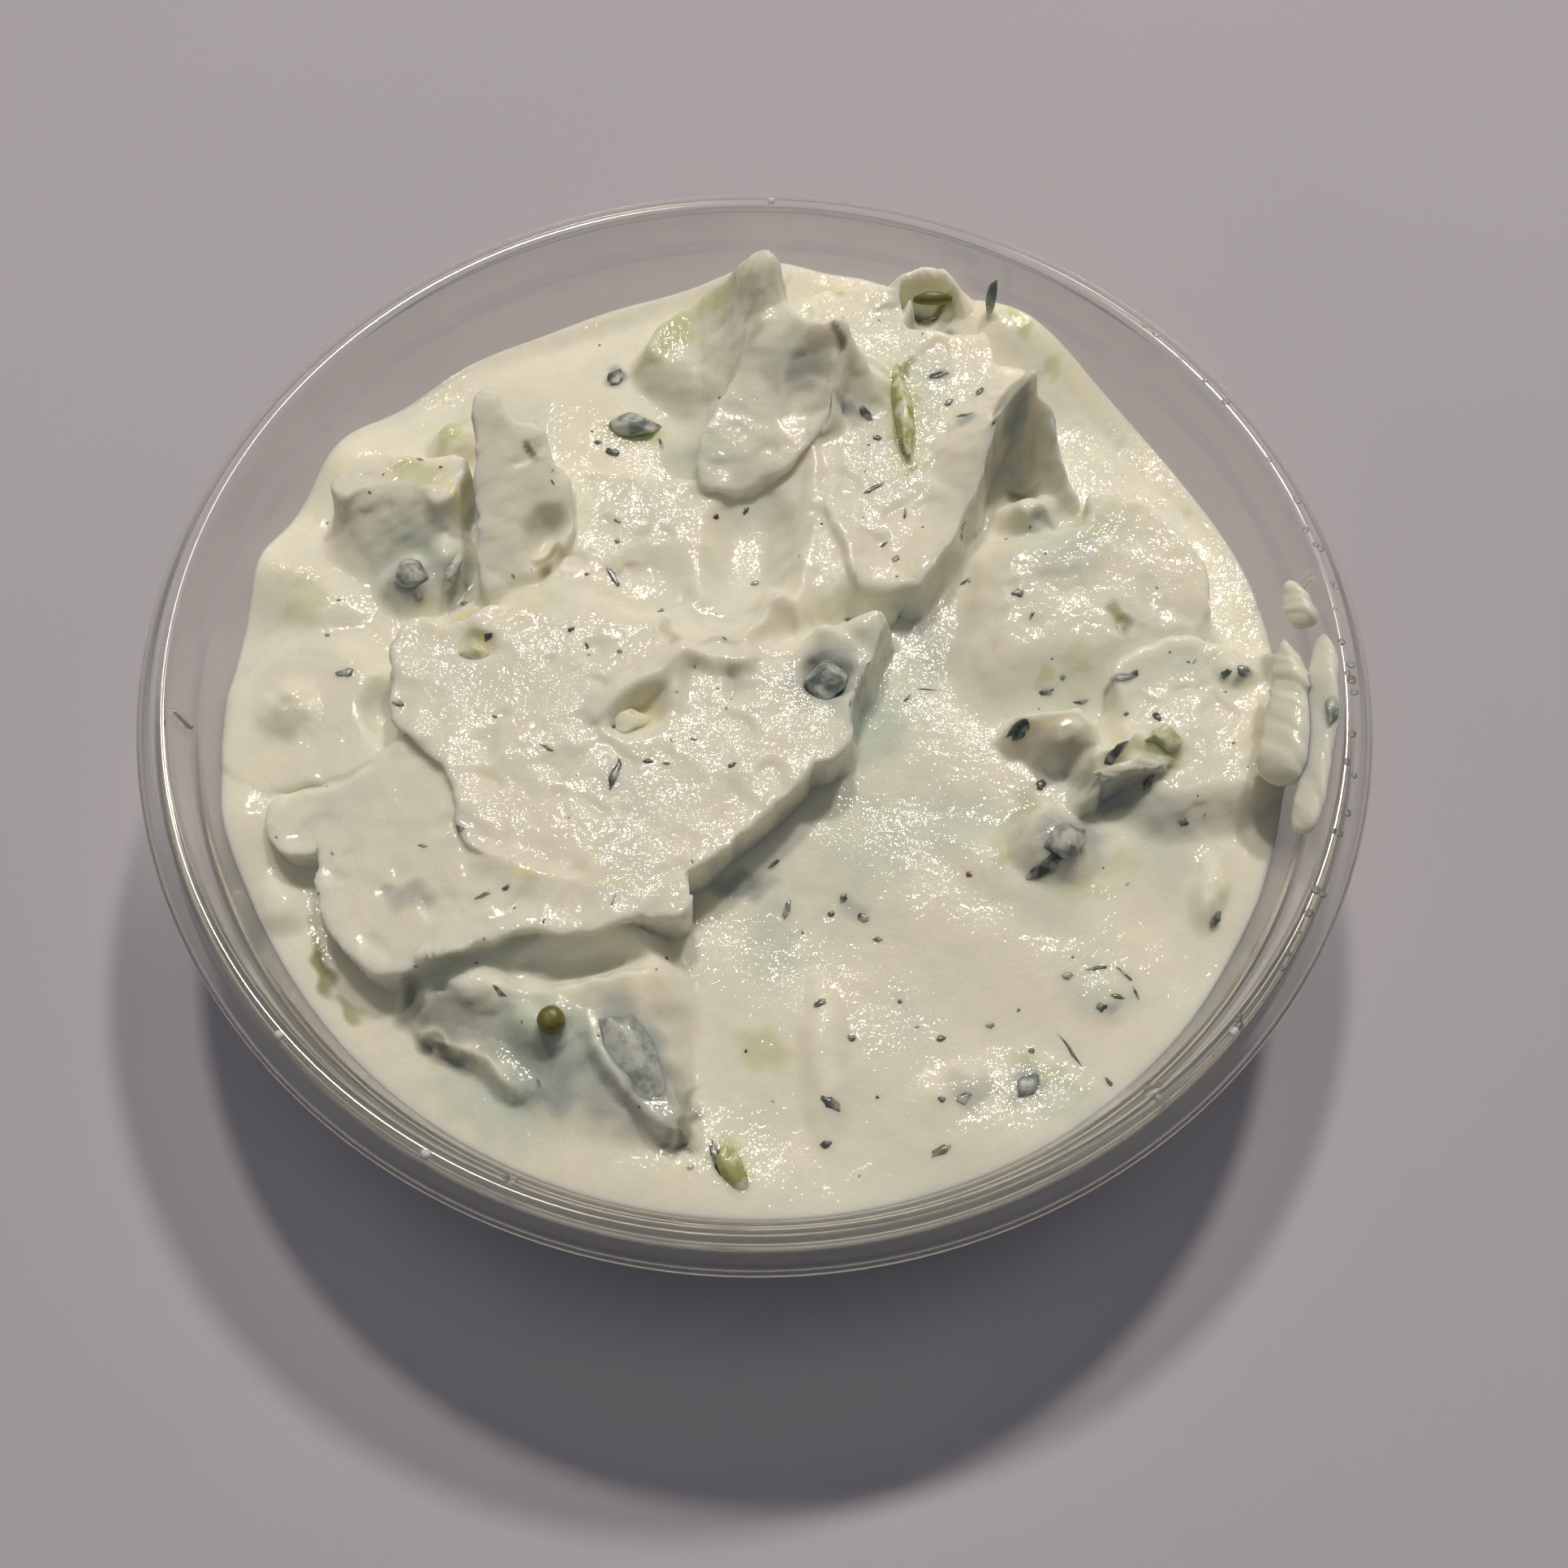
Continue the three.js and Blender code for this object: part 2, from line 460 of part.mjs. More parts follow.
// A smooth S from 0 at a to 1 at b, whichever of the two is the larger
function step(a, b, value) {
  return THREE.MathUtils.smoothstep((value - a) / (b - a), 0, 1);
}

// A three.js geometry as a closed solid, with its shared vertices merged
function solid(geometry) {
  const bare = geometry.clone();
  bare.deleteAttribute("normal");
  bare.deleteAttribute("uv");
  const merged = mergeVertices(bare, 1e-4);
  return new wasm.Manifold(new wasm.Mesh({
    numProp: 3,
    vertProperties: new Float32Array(merged.attributes.position.array),
    triVerts: new Uint32Array(merged.index.array),
  }));
}

// The largest body of a solid, without loose scraps
function largest(made) {
  return made.decompose().reduce((best, body) => (body.volume() > best.volume() ? body : best));
}

// A closed solid as a three.js geometry
function geometryOf(made) {
  const mesh = made.getMesh();
  const geometry = new THREE.BufferGeometry();
  geometry.setAttribute("position", new THREE.BufferAttribute(mesh.vertProperties, 3));
  geometry.setIndex(new THREE.BufferAttribute(mesh.triVerts, 1));
  geometry.computeVertexNormals();
  return geometry;
}

// Inside radius of the tub at a height above the rounded corner
function insideRadius(z) {
  if (z <= SEAT_HEIGHT) return SEAT_RADIUS - TAPER * (SEAT_HEIGHT - z);
  return SEAT_RADIUS + (z - SEAT_HEIGHT) * 0.32;
}

// The tub's section from the middle of the base, out and up the outside, over the rim and down the
// inside; grow thickens it on every side, to cut room for what lies against it
function tubSection(grow) {
  const corner = insideRadius(FLOOR_TOP + CORNER);
  const arc = (radius, centreZ, from, to, points) => {
    const made = [];
    for (let i = 0; i <= points; i++) {
      const angle = radians(from + ((to - from) * i) / points);
      made.push([corner - CORNER + radius * Math.cos(angle), centreZ + radius * Math.sin(angle)]);
    }
    return made;
  };
  const thick = WALL + grow;
  const outside = [
    [0, FOOT_RECESS - grow],
    [FOOT.inner - FOOT_RECESS, FOOT_RECESS - grow],
    [FOOT.inner, -grow],
    [FOOT.outer, -grow],
    ...arc(CORNER + thick, FLOOR_TOP + CORNER, -78, -12, 3),
    [SEAT_RADIUS + thick, SEAT_HEIGHT - 0.3],
    [SEAT_RADIUS + thick + 0.9, SEAT_HEIGHT + 0.9],
    [LIP_RADIUS - 2.6 + grow, RIM_TOP - 1.4],
    [LIP_RADIUS - 1.9, RIM_TOP - 1.1 - grow],
    [LIP_RADIUS - 0.9, RIM_TOP - 2 - grow],
    [LIP_RADIUS - 0.75, RIM_TOP - 2.7 - grow],
    [LIP_RADIUS - 0.1 + grow, RIM_TOP - 2.7 - grow],
    [LIP_RADIUS + grow, RIM_TOP - 2],
    [LIP_RADIUS - 0.7 + grow, RIM_TOP - 0.9 + grow],
    [LIP_RADIUS - 1.7 + grow, RIM_TOP - 0.25 + grow],
    [LIP_RADIUS - 2.8, RIM_TOP + grow],
  ];
  const inside = [
    [LIP_RADIUS - 3.4 - grow, RIM_TOP - 0.2 + grow],
    [LIP_RADIUS - 3.7 - grow, RIM_TOP - 0.9],
    [SEAT_RADIUS + 0.85 - grow, SEAT_HEIGHT + 1.1],
    [SEAT_RADIUS + 0.2 - grow, SEAT_HEIGHT + 0.5],
    [SEAT_RADIUS - grow, SEAT_HEIGHT],
    ...arc(CORNER - grow, FLOOR_TOP + CORNER, -12, -90, 3),
    [0, FLOOR_TOP + grow],
  ];
  return [...outside, ...inside].map(([r, z]) => new THREE.Vector2(r, z));
}

// The tub: the lathed shell with six short upright ribs on the inside of the lid seat
function makeTub(grow, sides) {
  let made = solid(new THREE.LatheGeometry(tubSection(grow), sides).rotateX(Math.PI / 2));
  const middle = (LUG_SIZE.bottom + LUG_SIZE.top) / 2;
  const radius = insideRadius(middle) + LUG_SIZE.depth / 2;
  for (let i = 0; i < LUGS; i++) {
    const lug = new THREE.BoxGeometry(
      2 * (LUG_SIZE.depth + grow),
      LUG_SIZE.width + 2 * grow,
      LUG_SIZE.top - LUG_SIZE.bottom + 2 * grow,
    );
    lug.rotateY(LUG_SIZE.lean);
    lug.translate(radius, 0, middle);
    lug.rotateZ(radians(LUG_FIRST + (360 / LUGS) * i));
    made = made.add(solid(lug));
  }
  return made;
}

// Places of a smooth closed outline, each with the width of the edge there
function smoothOutline(points) {
  const curve = new THREE.CatmullRomCurve3(points.map((point) => new THREE.Vector3(...point)), true);
  return curve.getPoints(points.length * 4).slice(0, -1);
}

// Nearest place on a run of points: its distance, the side it is on and the third value there, which
// is the height of a crest or the width of an edge
function nearest(x, y, run, closed) {
  const best = { distance: Infinity };
  const last = closed ? run.length : run.length - 1;
  for (let i = 0; i < last; i++) {
    const a = run[i];
    const b = run[(i + 1) % run.length];
    const dx = b.x - a.x;
    const dy = b.y - a.y;
    const along = THREE.MathUtils.clamp(((x - a.x) * dx + (y - a.y) * dy) / (dx * dx + dy * dy), 0, 1);
    const px = x - a.x - along * dx;
    const py = y - a.y - along * dy;
    const distance = Math.hypot(px, py);
    if (distance < best.distance) {
      const length = Math.hypot(dx, dy);
      best.distance = distance;
      best.side = dx * py - dy * px >= 0 ? 1 : -1;
      best.third = a.z + (b.z - a.z) * along;
      best.x = x - px;
      best.y = y - py;
      best.leftX = -dy / length;
      best.leftY = dx / length;
      best.awayX = px / (distance || 1);
      best.awayY = py / (distance || 1);
    }
  }
  return best;
}

function inside(x, y, outline) {
  let odd = false;
  outline.forEach((a, i) => {
    const b = outline[(i + 1) % outline.length];
    if (a.y > y !== b.y > y && x < a.x + ((b.x - a.x) * (y - a.y)) / (b.y - a.y)) odd = !odd;
  });
  return odd;
}

const terraces = TERRACES.map((terrace) => ({ ...terrace, outline: smoothOutline(terrace.outline) }));
const ridges = RIDGES.map((ridge) => ({
  ...ridge,
  run: ridge.run.map(([x, y, z]) => new THREE.Vector3(x, y, z)),
}));

// How far a place is from an oval's middle, 1 at its edge
function ovalDistance(x, y, oval) {
  const turn = radians(oval.turn);
  const dx = x - oval.at[0];
  const dy = y - oval.at[1];
  const u = (dx * Math.cos(turn) + dy * Math.sin(turn)) / oval.size[0];
  const v = (dy * Math.cos(turn) - dx * Math.sin(turn)) / oval.size[1];
  return Math.hypot(u, v);
}

// Moves a grid point that is close to a crest or a sharp edge: onto the crest, or to the same side
// of the edge, a hair from it. Crests and edges then stay clean lines on a coarse grid.
function settle(x, y) {
  let moved = { x, y };
  let closest = REACH;
  for (const { run } of ridges) {
    const near = nearest(x, y, run, false);
    if (near.distance < closest) {
      closest = near.distance;
      moved = { x: near.x, y: near.y };
    }
  }
  for (const { outline } of terraces) {
    const near = nearest(x, y, outline, true);
    if (near.third < SHARP && near.distance < closest) {
      closest = near.distance;
      moved = { x: near.x + HAIR * near.awayX, y: near.y + HAIR * near.awayY };
    }
  }
  return moved;
}

// The surface of the dip over a place: its height, and the sideways shift that makes edges overhang.
// Pool first, then the layers one on another, the lumps, the hollows and last the pulled crests.
function surfaceAt(x, y) {
  const radius = Math.hypot(x, y);
  const angle = THREE.MathUtils.radToDeg(Math.atan2(y, x));
  let z = POOL + 0.35 * Math.sin(x / 7 + 1) * Math.cos(y / 9) + 0.2 * Math.sin((x + 2 * y) / 6);
  for (const creep of CREEPS) {
    const off = THREE.MathUtils.euclideanModulo(angle - creep.at + 180, 360) - 180;
    z += creep.rise * Math.exp(-((off / creep.width) ** 2)) * step(42, 52.5, radius);
  }
  let shiftX = 0;
  let shiftY = 0;
  for (const layer of terraces) {
    const near = nearest(x, y, layer.outline, true);
    const depth = inside(x, y, layer.outline) ? near.distance : -near.distance;
    const sharp = step(2.5, 0.8, near.third);
    const edge = near.third < SHARP ? HAIR * 2 : near.third;
    const share = step(-edge / 2, edge / 2, depth);
    const plane = layer.at[2] + layer.slope[0] * (x - layer.at[0]) + layer.slope[1] * (y - layer.at[1]);
    const top = plane + layer.lip * sharp * Math.exp(-(((depth - LIP_IN) / LIP_WIDTH) ** 2));
    if (top > z) {
      z += (top - z) * share;
      const push = layer.over * sharp * share * step(3.5, 0.4, depth) * (depth > 0 ? -1 : 1);
      shiftX += push * near.awayX;
      shiftY += push * near.awayY;
    }
  }
  for (const bump of BUMPS) {
    const far = ovalDistance(x, y, bump);
    if (far < 1) z = Math.max(z, z + (bump.top - z) * step(1, 0.2, far));
  }
  for (const scoop of SCOOPS) {
    const far = ovalDistance(x, y, scoop);
    if (far < 1) z = Math.min(z, scoop.bottom + (z - scoop.bottom) * step(0, 1, far ** 1.6));
  }
  for (const ridge of ridges) {
    const near = nearest(x, y, ridge.run, false);
    const width = near.side > 0 ? ridge.left : ridge.right;
    const far = near.distance / width;
    if (far < 1 && near.third > z) {
      const share = (1 - far) ** (width > WIDE_FACE ? PULLED : 1.1);
      z += (near.third - z) * share;
      shiftX += ridge.lean * share * near.leftX;
      shiftY += ridge.lean * share * near.leftY;
    }
  }
  const free = step(52.5, 47, radius);
  return { x: x + shiftX * free, y: y + shiftY * free, z };
}

// The dip: a square grid drawn out to a disc carries the surface, and rings follow the inside of the
// tub down to its floor
function makeDipBody() {
  const positions = [];
  const faces = [];
  const count = CELLS + 1;
  for (let j = 0; j < count; j++) {
    for (let i = 0; i < count; i++) {
      const u = (2 * i) / CELLS - 1;
      const v = (2 * j) / CELLS - 1;
      const discX = u * Math.sqrt(1 - (v * v) / 2) * SEAT_RADIUS;
      const discY = v * Math.sqrt(1 - (u * u) / 2) * SEAT_RADIUS;
      const radius = Math.hypot(discX, discY);
      const placed = radius < EDGE_ZONE ? settle(discX, discY) : { x: discX, y: discY };
      const point = surfaceAt(placed.x, placed.y);
      const wall = (insideRadius(point.z) - GAP) / SEAT_RADIUS;
      const drawn = 1 + (wall - 1) * step(EDGE_ZONE, SEAT_RADIUS, radius);
      positions.push(point.x * drawn, point.y * drawn, point.z);
    }
  }
  for (let j = 0; j < CELLS; j++) {
    for (let i = 0; i < CELLS; i++) {
      const a = j * count + i;
      const b = a + 1;
      const c = a + count;
      const d = c + 1;
      const rising = Math.abs(positions[3 * a + 2] - positions[3 * d + 2]);
      const falling = Math.abs(positions[3 * b + 2] - positions[3 * c + 2]);
      faces.push(...(falling < rising ? [a, b, c, b, d, c] : [a, b, d, a, d, c]));
    }
  }
  const border = [];
  for (let i = 0; i < CELLS; i++) border.push(i);
  for (let j = 0; j < CELLS; j++) border.push(j * count + CELLS);
  for (let i = CELLS; i > 0; i--) border.push(CELLS * count + i);
  for (let j = CELLS; j > 0; j--) border.push(j * count);
  const rings = [
    [insideRadius(FLOOR_TOP + CORNER) - GAP, FLOOR_TOP + CORNER],
    [insideRadius(FLOOR_TOP + CORNER) - CORNER, FLOOR_TOP + GAP],
  ];
  let above = border;
  for (const [radius, z] of rings) {
    const ring = above.map((_, k) => {
      const angle = Math.atan2(positions[3 * border[k] + 1], positions[3 * border[k]]);
      positions.push(radius * Math.cos(angle), radius * Math.sin(angle), z);
      return positions.length / 3 - 1;
    });
    ring.forEach((low, k) => {
      const next = (k + 1) % ring.length;
      faces.push(above[k], low, above[next], above[next], low, ring[next]);
    });
    above = ring;
  }
  positions.push(0, 0, FLOOR_TOP + GAP);
  const middle = positions.length / 3 - 1;
  above.forEach((low, k) => faces.push(low, middle, above[(k + 1) % above.length]));
  const geometry = new THREE.BufferGeometry();
  geometry.setAttribute("position", new THREE.Float32BufferAttribute(positions, 3));
  geometry.setIndex(faces);
  return solid(geometry);
}

// A bowed, slightly knobbly lozenge: a sphere drawn out to the piece's size, squared off a little,
// with its ends bent down by the bow; grow makes it larger all round
function pieceGeometry({ at, size, turn, bow }, grow) {
  const made = new THREE.SphereGeometry(1, ...PIECE_SIDES);
  const place = made.attributes.position;
  const squared = (value) => Math.sign(value) * Math.abs(value) ** SQUARENESS;
  for (let i = 0; i < place.count; i++) {
    const x = squared(place.getX(i));
    const y = squared(place.getY(i));
    const z = squared(place.getZ(i));
    const knob = 1 + KNOB * Math.sin(5 * x + 3 * z + size[0]) * Math.cos(4 * y + 2 * x);
    place.setXYZ(
      i,
      x * (size[0] / 2 + grow) * knob,
      y * (size[1] / 2 + grow) * (1 - END_TAPER * x * x) * knob,
      z * (size[2] / 2 + grow) - bow * (x * x - 0.3),
    );
  }
  made.rotateY(radians(turn[2]));
  made.rotateX(radians(turn[1]));
  made.rotateZ(radians(turn[0]));
  made.translate(...at);
  return made;
}

// A smear: rings across each run, wide along the wall and thin off it, closed to a point at both ends
function smearSolid(runs, grow) {
  const parts = runs.map((run) => {
    const path = new THREE.CatmullRomCurve3(run.map(([x, y, z]) => new THREE.Vector3(x, y, z)));
    const rings = run.length * 2 - 1;
    const positions = [];
    const faces = [];
    for (let i = 0; i < rings; i++) {
      const share = i / (rings - 1);
      const middle = path.getPoint(share);
      const along = path.getTangent(share);
      const reached = share * (run.length - 1);
      const before = run[Math.floor(reached)];
      const after = run[Math.ceil(reached)];
      const half = THREE.MathUtils.lerp(before[3], after[3], reached % 1) + grow;
      const thick = THREE.MathUtils.lerp(before[4], after[4], reached % 1) + grow;
      const off = new THREE.Vector3(-middle.x, -middle.y, 0).normalize().setZ(RUN_LEAN).normalize();
      const across = new THREE.Vector3().crossVectors(along, off).normalize();
      off.crossVectors(across, along).normalize();
      for (let k = 0; k < RUN_SIDES; k++) {
        const angle = (2 * Math.PI * k) / RUN_SIDES;
        const place = middle.clone();
        place.addScaledVector(across, half * Math.cos(angle));
        place.addScaledVector(off, thick * Math.sin(angle));
        positions.push(...place.toArray());
        const next = (k + 1) % RUN_SIDES;
        const row = i * RUN_SIDES;
        if (i < rings - 1) {
          faces.push(row + k, row + RUN_SIDES + k, row + next);
          faces.push(row + next, row + RUN_SIDES + k, row + RUN_SIDES + next);
        }
      }
    }
    const first = path.getPoint(0).addScaledVector(path.getTangent(0), -run[0][3] - grow);
    const last = path.getPoint(1).addScaledVector(path.getTangent(1), run[run.length - 1][3] + grow);
    positions.push(...first.toArray(), ...last.toArray());
    const head = rings * RUN_SIDES;
    for (let k = 0; k < RUN_SIDES; k++) {
      const next = (k + 1) % RUN_SIDES;
      faces.push(head, k, next);
      faces.push(head + 1, head - RUN_SIDES + next, head - RUN_SIDES + k);
    }
    const geometry = new THREE.BufferGeometry();
    geometry.setAttribute("position", new THREE.Float32BufferAttribute(positions, 3));
    geometry.setIndex(faces);
    return solid(geometry);
  });
  return parts.reduce((all, one) => all.add(one));
}

// Joining and cutting: the flecks are fused to the dip, and the dip is cut clear of every piece
const tub = makeTub(0, ROUND);
const roomOfTub = makeTub(GAP, 2 * ROUND);
let dip = makeDipBody();
for (const { at, size, turn } of FLECKS) {
  const z = surfaceAt(...at).z - FLECK_THICK / 2 + FLECK_PROUD;
  const fleck = new THREE.SphereGeometry(0.5, 6, 4);
  fleck.scale(size[0], size[1], FLECK_THICK);
  fleck.rotateZ(radians(turn));
  fleck.translate(at[0], at[1], z);
  dip = dip.add(solid(fleck));
}
for (const piece of PIECES) dip = dip.subtract(solid(pieceGeometry(piece, GAP)));
dip = dip.subtract(smearSolid(RIM_SMEAR, GAP)).subtract(smearSolid(RIM_DAB, GAP));
dip = largest(dip);
const herbRoom = solid(pieceGeometry(RIM_HERB, GAP));
const smear = largest(smearSolid(RIM_SMEAR, 0).subtract(roomOfTub).subtract(herbRoom));
const dab = largest(smearSolid(RIM_DAB, 0).subtract(roomOfTub));
const herb = largest(solid(pieceGeometry(RIM_HERB, 0)).subtract(roomOfTub));

const group = new THREE.Group();

function addMesh(name, geometry, material) {
  const mesh = new THREE.Mesh(geometry, material.clone());
  mesh.name = name;
  group.add(mesh);
}

addMesh("tub", geometryOf(tub), FINISH.tub);
addMesh("dip", geometryOf(dip), FINISH.dip);
for (const piece of PIECES) addMesh(piece.name, pieceGeometry(piece, 0), FINISH[piece.skin]);
addMesh("rim_smear", geometryOf(smear), FINISH.dip);
addMesh("rim_dab", geometryOf(dab), FINISH.dip);
addMesh("rim_herb", geometryOf(herb), FINISH.peel);

export default group;
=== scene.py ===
"""Tzatziki in its clear round takeaway tub: the looks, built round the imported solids.

Lengths in the sections are millimetres, in the frame of the solids, and become metres when a mesh is
made. The dip is thick strained yogurt that a spoon has left in layers, hollows and pulled crests.
"""
import math

import bpy
import numpy as np
from mathutils import Matrix, Vector


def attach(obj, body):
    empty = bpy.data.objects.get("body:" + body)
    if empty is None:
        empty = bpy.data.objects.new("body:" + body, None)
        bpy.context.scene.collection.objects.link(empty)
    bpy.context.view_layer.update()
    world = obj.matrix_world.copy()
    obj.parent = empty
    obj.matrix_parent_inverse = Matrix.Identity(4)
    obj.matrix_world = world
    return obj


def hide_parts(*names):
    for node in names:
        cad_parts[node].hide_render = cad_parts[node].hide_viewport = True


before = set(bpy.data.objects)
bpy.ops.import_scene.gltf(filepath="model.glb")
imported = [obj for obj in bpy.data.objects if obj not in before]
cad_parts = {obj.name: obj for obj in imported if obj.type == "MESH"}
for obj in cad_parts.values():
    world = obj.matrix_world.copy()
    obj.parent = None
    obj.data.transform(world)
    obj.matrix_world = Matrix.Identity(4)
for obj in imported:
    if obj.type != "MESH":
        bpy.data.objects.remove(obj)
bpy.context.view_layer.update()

# The table top and the light: a plain pale floor, two small lamps behind the tub on the right, as in
# a dining room, and one broad soft panel overhead that fills the shadows.
MM = 0.001
TABLE_HALF = 900


def linear(code):
    """An sRGB hex colour as linear red, green, blue and alpha."""
    sized = [int(code[i:i + 2], 16) / 255 for i in (1, 3, 5)]
    return [c / 12.92 if c <= 0.04045 else ((c + 0.055) / 1.055) ** 2.4 for c in sized] + [1.0]


def set_sockets(material, made, sockets):
    """Gives each socket of a node, by name or number, its value or a link from another's socket."""
    for name, value in sockets.items():
        if isinstance(value, bpy.types.NodeSocket):
            material.node_tree.links.new(value, made.inputs[name])
        else:
            made.inputs[name].default_value = value


def node(material, kind, sockets=None, **attributes):
    """Adds a shader node to a material, and sets its attributes and its sockets."""
    made = material.node_tree.nodes.new(kind)
    for name, value in attributes.items():
        setattr(made, name, value)
    set_sockets(material, made, sockets or {})
    return made


def new_material(name):
    """An empty node material, its Principled shader and the socket with places on the object."""
    material = bpy.data.materials.new(name)
    material.use_nodes = True
    place = node(material, "ShaderNodeTexCoord").outputs["Object"]
    return material, material.node_tree.nodes["Principled BSDF"], place


def mesh_object(name, points, faces, material):
    """A mesh object at the origin from points in millimetres and faces as rows of corner numbers."""
    mesh = bpy.data.meshes.new(name)
    mesh.from_pydata((np.asarray(points, float) * MM).tolist(), [], [list(map(int, f)) for f in faces])
    mesh.polygons.foreach_set("use_smooth", np.ones(len(mesh.polygons), bool))
    mesh.materials.append(material)
    mesh.update()
    made = bpy.data.objects.new(name, mesh)
    bpy.context.scene.collection.objects.link(made)
    return made


table_board, board_shader, place = new_material("Matt pale board")
# Matt painted board: an even, pale grey with no shine and a faint unevenness.
uneven = node(table_board, "ShaderNodeTexNoise", {"Vector": place, "Scale": 9, "Detail": 3})
pale = node(table_board, "ShaderNodeMix", {
    0: uneven.outputs["Fac"], 6: linear("#b9b7bf"), 7: linear("#c2c0c9")}, data_type="RGBA")
set_sockets(table_board, board_shader, {
    "Base Color": pale.outputs[2],
    "Roughness": 0.9,
    "Specular IOR Level": 0.2,
})
corners = TABLE_HALF * np.array([[-1, -1, 0], [1, -1, 0], [1, 1, 0], [-1, 1, 0]])
floor = mesh_object("table_top", corners, [[0, 1, 2, 3]], table_board)

# Each lamp: azimuth and elevation in degrees, distance, width, power in watts and colour
LAMPS = {
    "lamp_key": (71, 53, 1400, 110, 7.3, "#fff4e6"),
    "lamp_second": (100, 58, 1400, 110, 6.5, "#fff3e4"),
    "panel_overhead": (250, 76, 900, 700, 0.45, "#eef3ff"),
}
for name, (azimuth, elevation, distance, width, power, colour) in LAMPS.items():
    data = bpy.data.lights.new(name, "AREA")
    data.shape = "DISK"
    data.size = width * MM
    data.energy = power
    data.color = linear(colour)[:3]
    turn, rise = math.radians(azimuth), math.radians(elevation)
    towards = Vector((math.cos(rise) * math.cos(turn), math.cos(rise) * math.sin(turn), math.sin(rise)))
    lamp = bpy.data.objects.new(name, data)
    lamp.location = towards * distance * MM
    lamp.rotation_euler = towards.to_track_quat("Z", "Y").to_euler()
    bpy.context.scene.collection.objects.link(lamp)

world = bpy.data.worlds.new("Soft room light")
world.use_nodes = True
world.node_tree.nodes["Background"].inputs["Color"].default_value = linear("#dde1ee")
world.node_tree.nodes["Background"].inputs["Strength"].default_value = 0.095
bpy.context.scene.world = world
bpy.context.scene.view_settings.view_transform = "Standard"

# The camera: held 150 mm from the middle of the rim, looking steeply down over the near edge, with a
# slight roll. Focal length is in pixels of the 1932 pixel frame, the sensor and the near limit are in
# millimetres.
FRAME_PIXELS, FOCAL_PIXELS = 1932, 2000
SENSOR, NEAREST = 36, 5
EYE = Vector((2.94, -80.75, 159.2))
PITCH_DOWN, ROLL = 63.9, 2.13

pitch, roll = math.radians(PITCH_DOWN), math.radians(ROLL)
forward = Vector((0, math.cos(pitch), -math.sin(pitch)))
level_right, level_up = Vector((1, 0, 0)), Vector((0, math.sin(pitch), math.cos(pitch)))
right = math.cos(roll) * level_right + math.sin(roll) * level_up
up = -math.sin(roll) * level_right + math.cos(roll) * level_up
lens = bpy.data.cameras.new("camera")
lens.sensor_width = SENSOR
lens.lens = SENSOR * FOCAL_PIXELS / FRAME_PIXELS
lens.clip_start = NEAREST * MM
camera = bpy.data.objects.new("camera", lens)
camera.matrix_world = Matrix.Translation(EYE * MM) @ Matrix((right, up, -forward)).transposed().to_4x4()
bpy.context.scene.collection.objects.link(camera)
bpy.context.scene.camera = camera

# The tub: thin injection-moulded clear polypropylene, with a tapered wall, a stepped lid seat, a
# rolled rim that turns down outside, six short upright ribs on the seat and a foot ring underneath.
LIP_RADIUS, RIM_TOP, WALL = 59, 26, 0.7
FLOOR_TOP, CORNER = 1.2, 3.2
CORNER_SWEEP = np.linspace(-88, -12, 9)
SEAT_RADIUS, SEAT_HEIGHT, TAPER, FLARE = 53.9, 20.6, 0.22, 0.32
FOOT_INNER, FOOT_OUTER, FOOT_RECESS = 41.5, 46.2, 0.5
# The rolled lip: how far in from its edge and how far below its top each place of the profile lies
LIP = [
    (2.6, 1.5), (1.9, 1.2), (0.9, 2), (0.75, 2.7), (0.1, 2.7), (0, 2), (0.7, 0.9), (1.7, 0.25), (2.8, 0),
    (3.4, 0.2), (3.7, 0.9),
]
ROUNDING = 0.35
# The upright ribs on the seat: how many, the angle of the first, columns of points on each, and size
LUGS, LUG_FIRST, LUG_COLUMNS = 6, 10.3, 7
LUG_WIDTH, LUG_DEPTH, LUG_BOTTOM, LUG_TOP = 0.7, 0.45, 21.8, 25.2
TUB_AROUND = 240


def inside_radius(z):
    """Inside of the wall: loses the taper for each millimetre below the seat, and flares above it."""
    return np.where(z <= SEAT_HEIGHT, SEAT_RADIUS - TAPER * (SEAT_HEIGHT - z),
                    SEAT_RADIUS + FLARE * (z - SEAT_HEIGHT))


corner_radius = float(inside_radius(FLOOR_TOP + CORNER))


def corner_points(offset, degrees):
    """Radius and height round the corner between wall and floor, at an offset out from its inside."""
    sweep = np.radians(degrees)
    return np.stack([corner_radius - CORNER + (CORNER + offset) * np.cos(sweep),
                     FLOOR_TOP + CORNER + (CORNER + offset) * np.sin(sweep)], -1)


def rounded(points, radius, steps=4):
    """A profile with each inner corner cut by a quadratic curve that starts radius before it, or at
    0.45 of a side that is shorter."""
    points = np.asarray(points, float)
    made = [points[:1]]
    for before, corner, after in zip(points, points[1:], points[2:]):
        back, ahead = before - corner, after - corner
        cut = min(radius, 0.45 * np.linalg.norm(back), 0.45 * np.linalg.norm(ahead))
        start = corner + back / np.linalg.norm(back) * cut
        end = corner + ahead / np.linalg.norm(ahead) * cut
        t = np.linspace(0, 1, steps + 1)[:, None]
        made.append((1 - t) ** 2 * start + 2 * t * (1 - t) * corner + t ** 2 * end)
    return np.concatenate(made + [points[-1:]])


def turned(profile, angles):
    """A profile of radius and height carried round the axis: rows of the profile, columns of angles."""
    radius, height = profile[:, :1], profile[:, 1:]
    return np.stack([radius * np.cos(angles), radius * np.sin(angles), height + 0 * angles], -1)


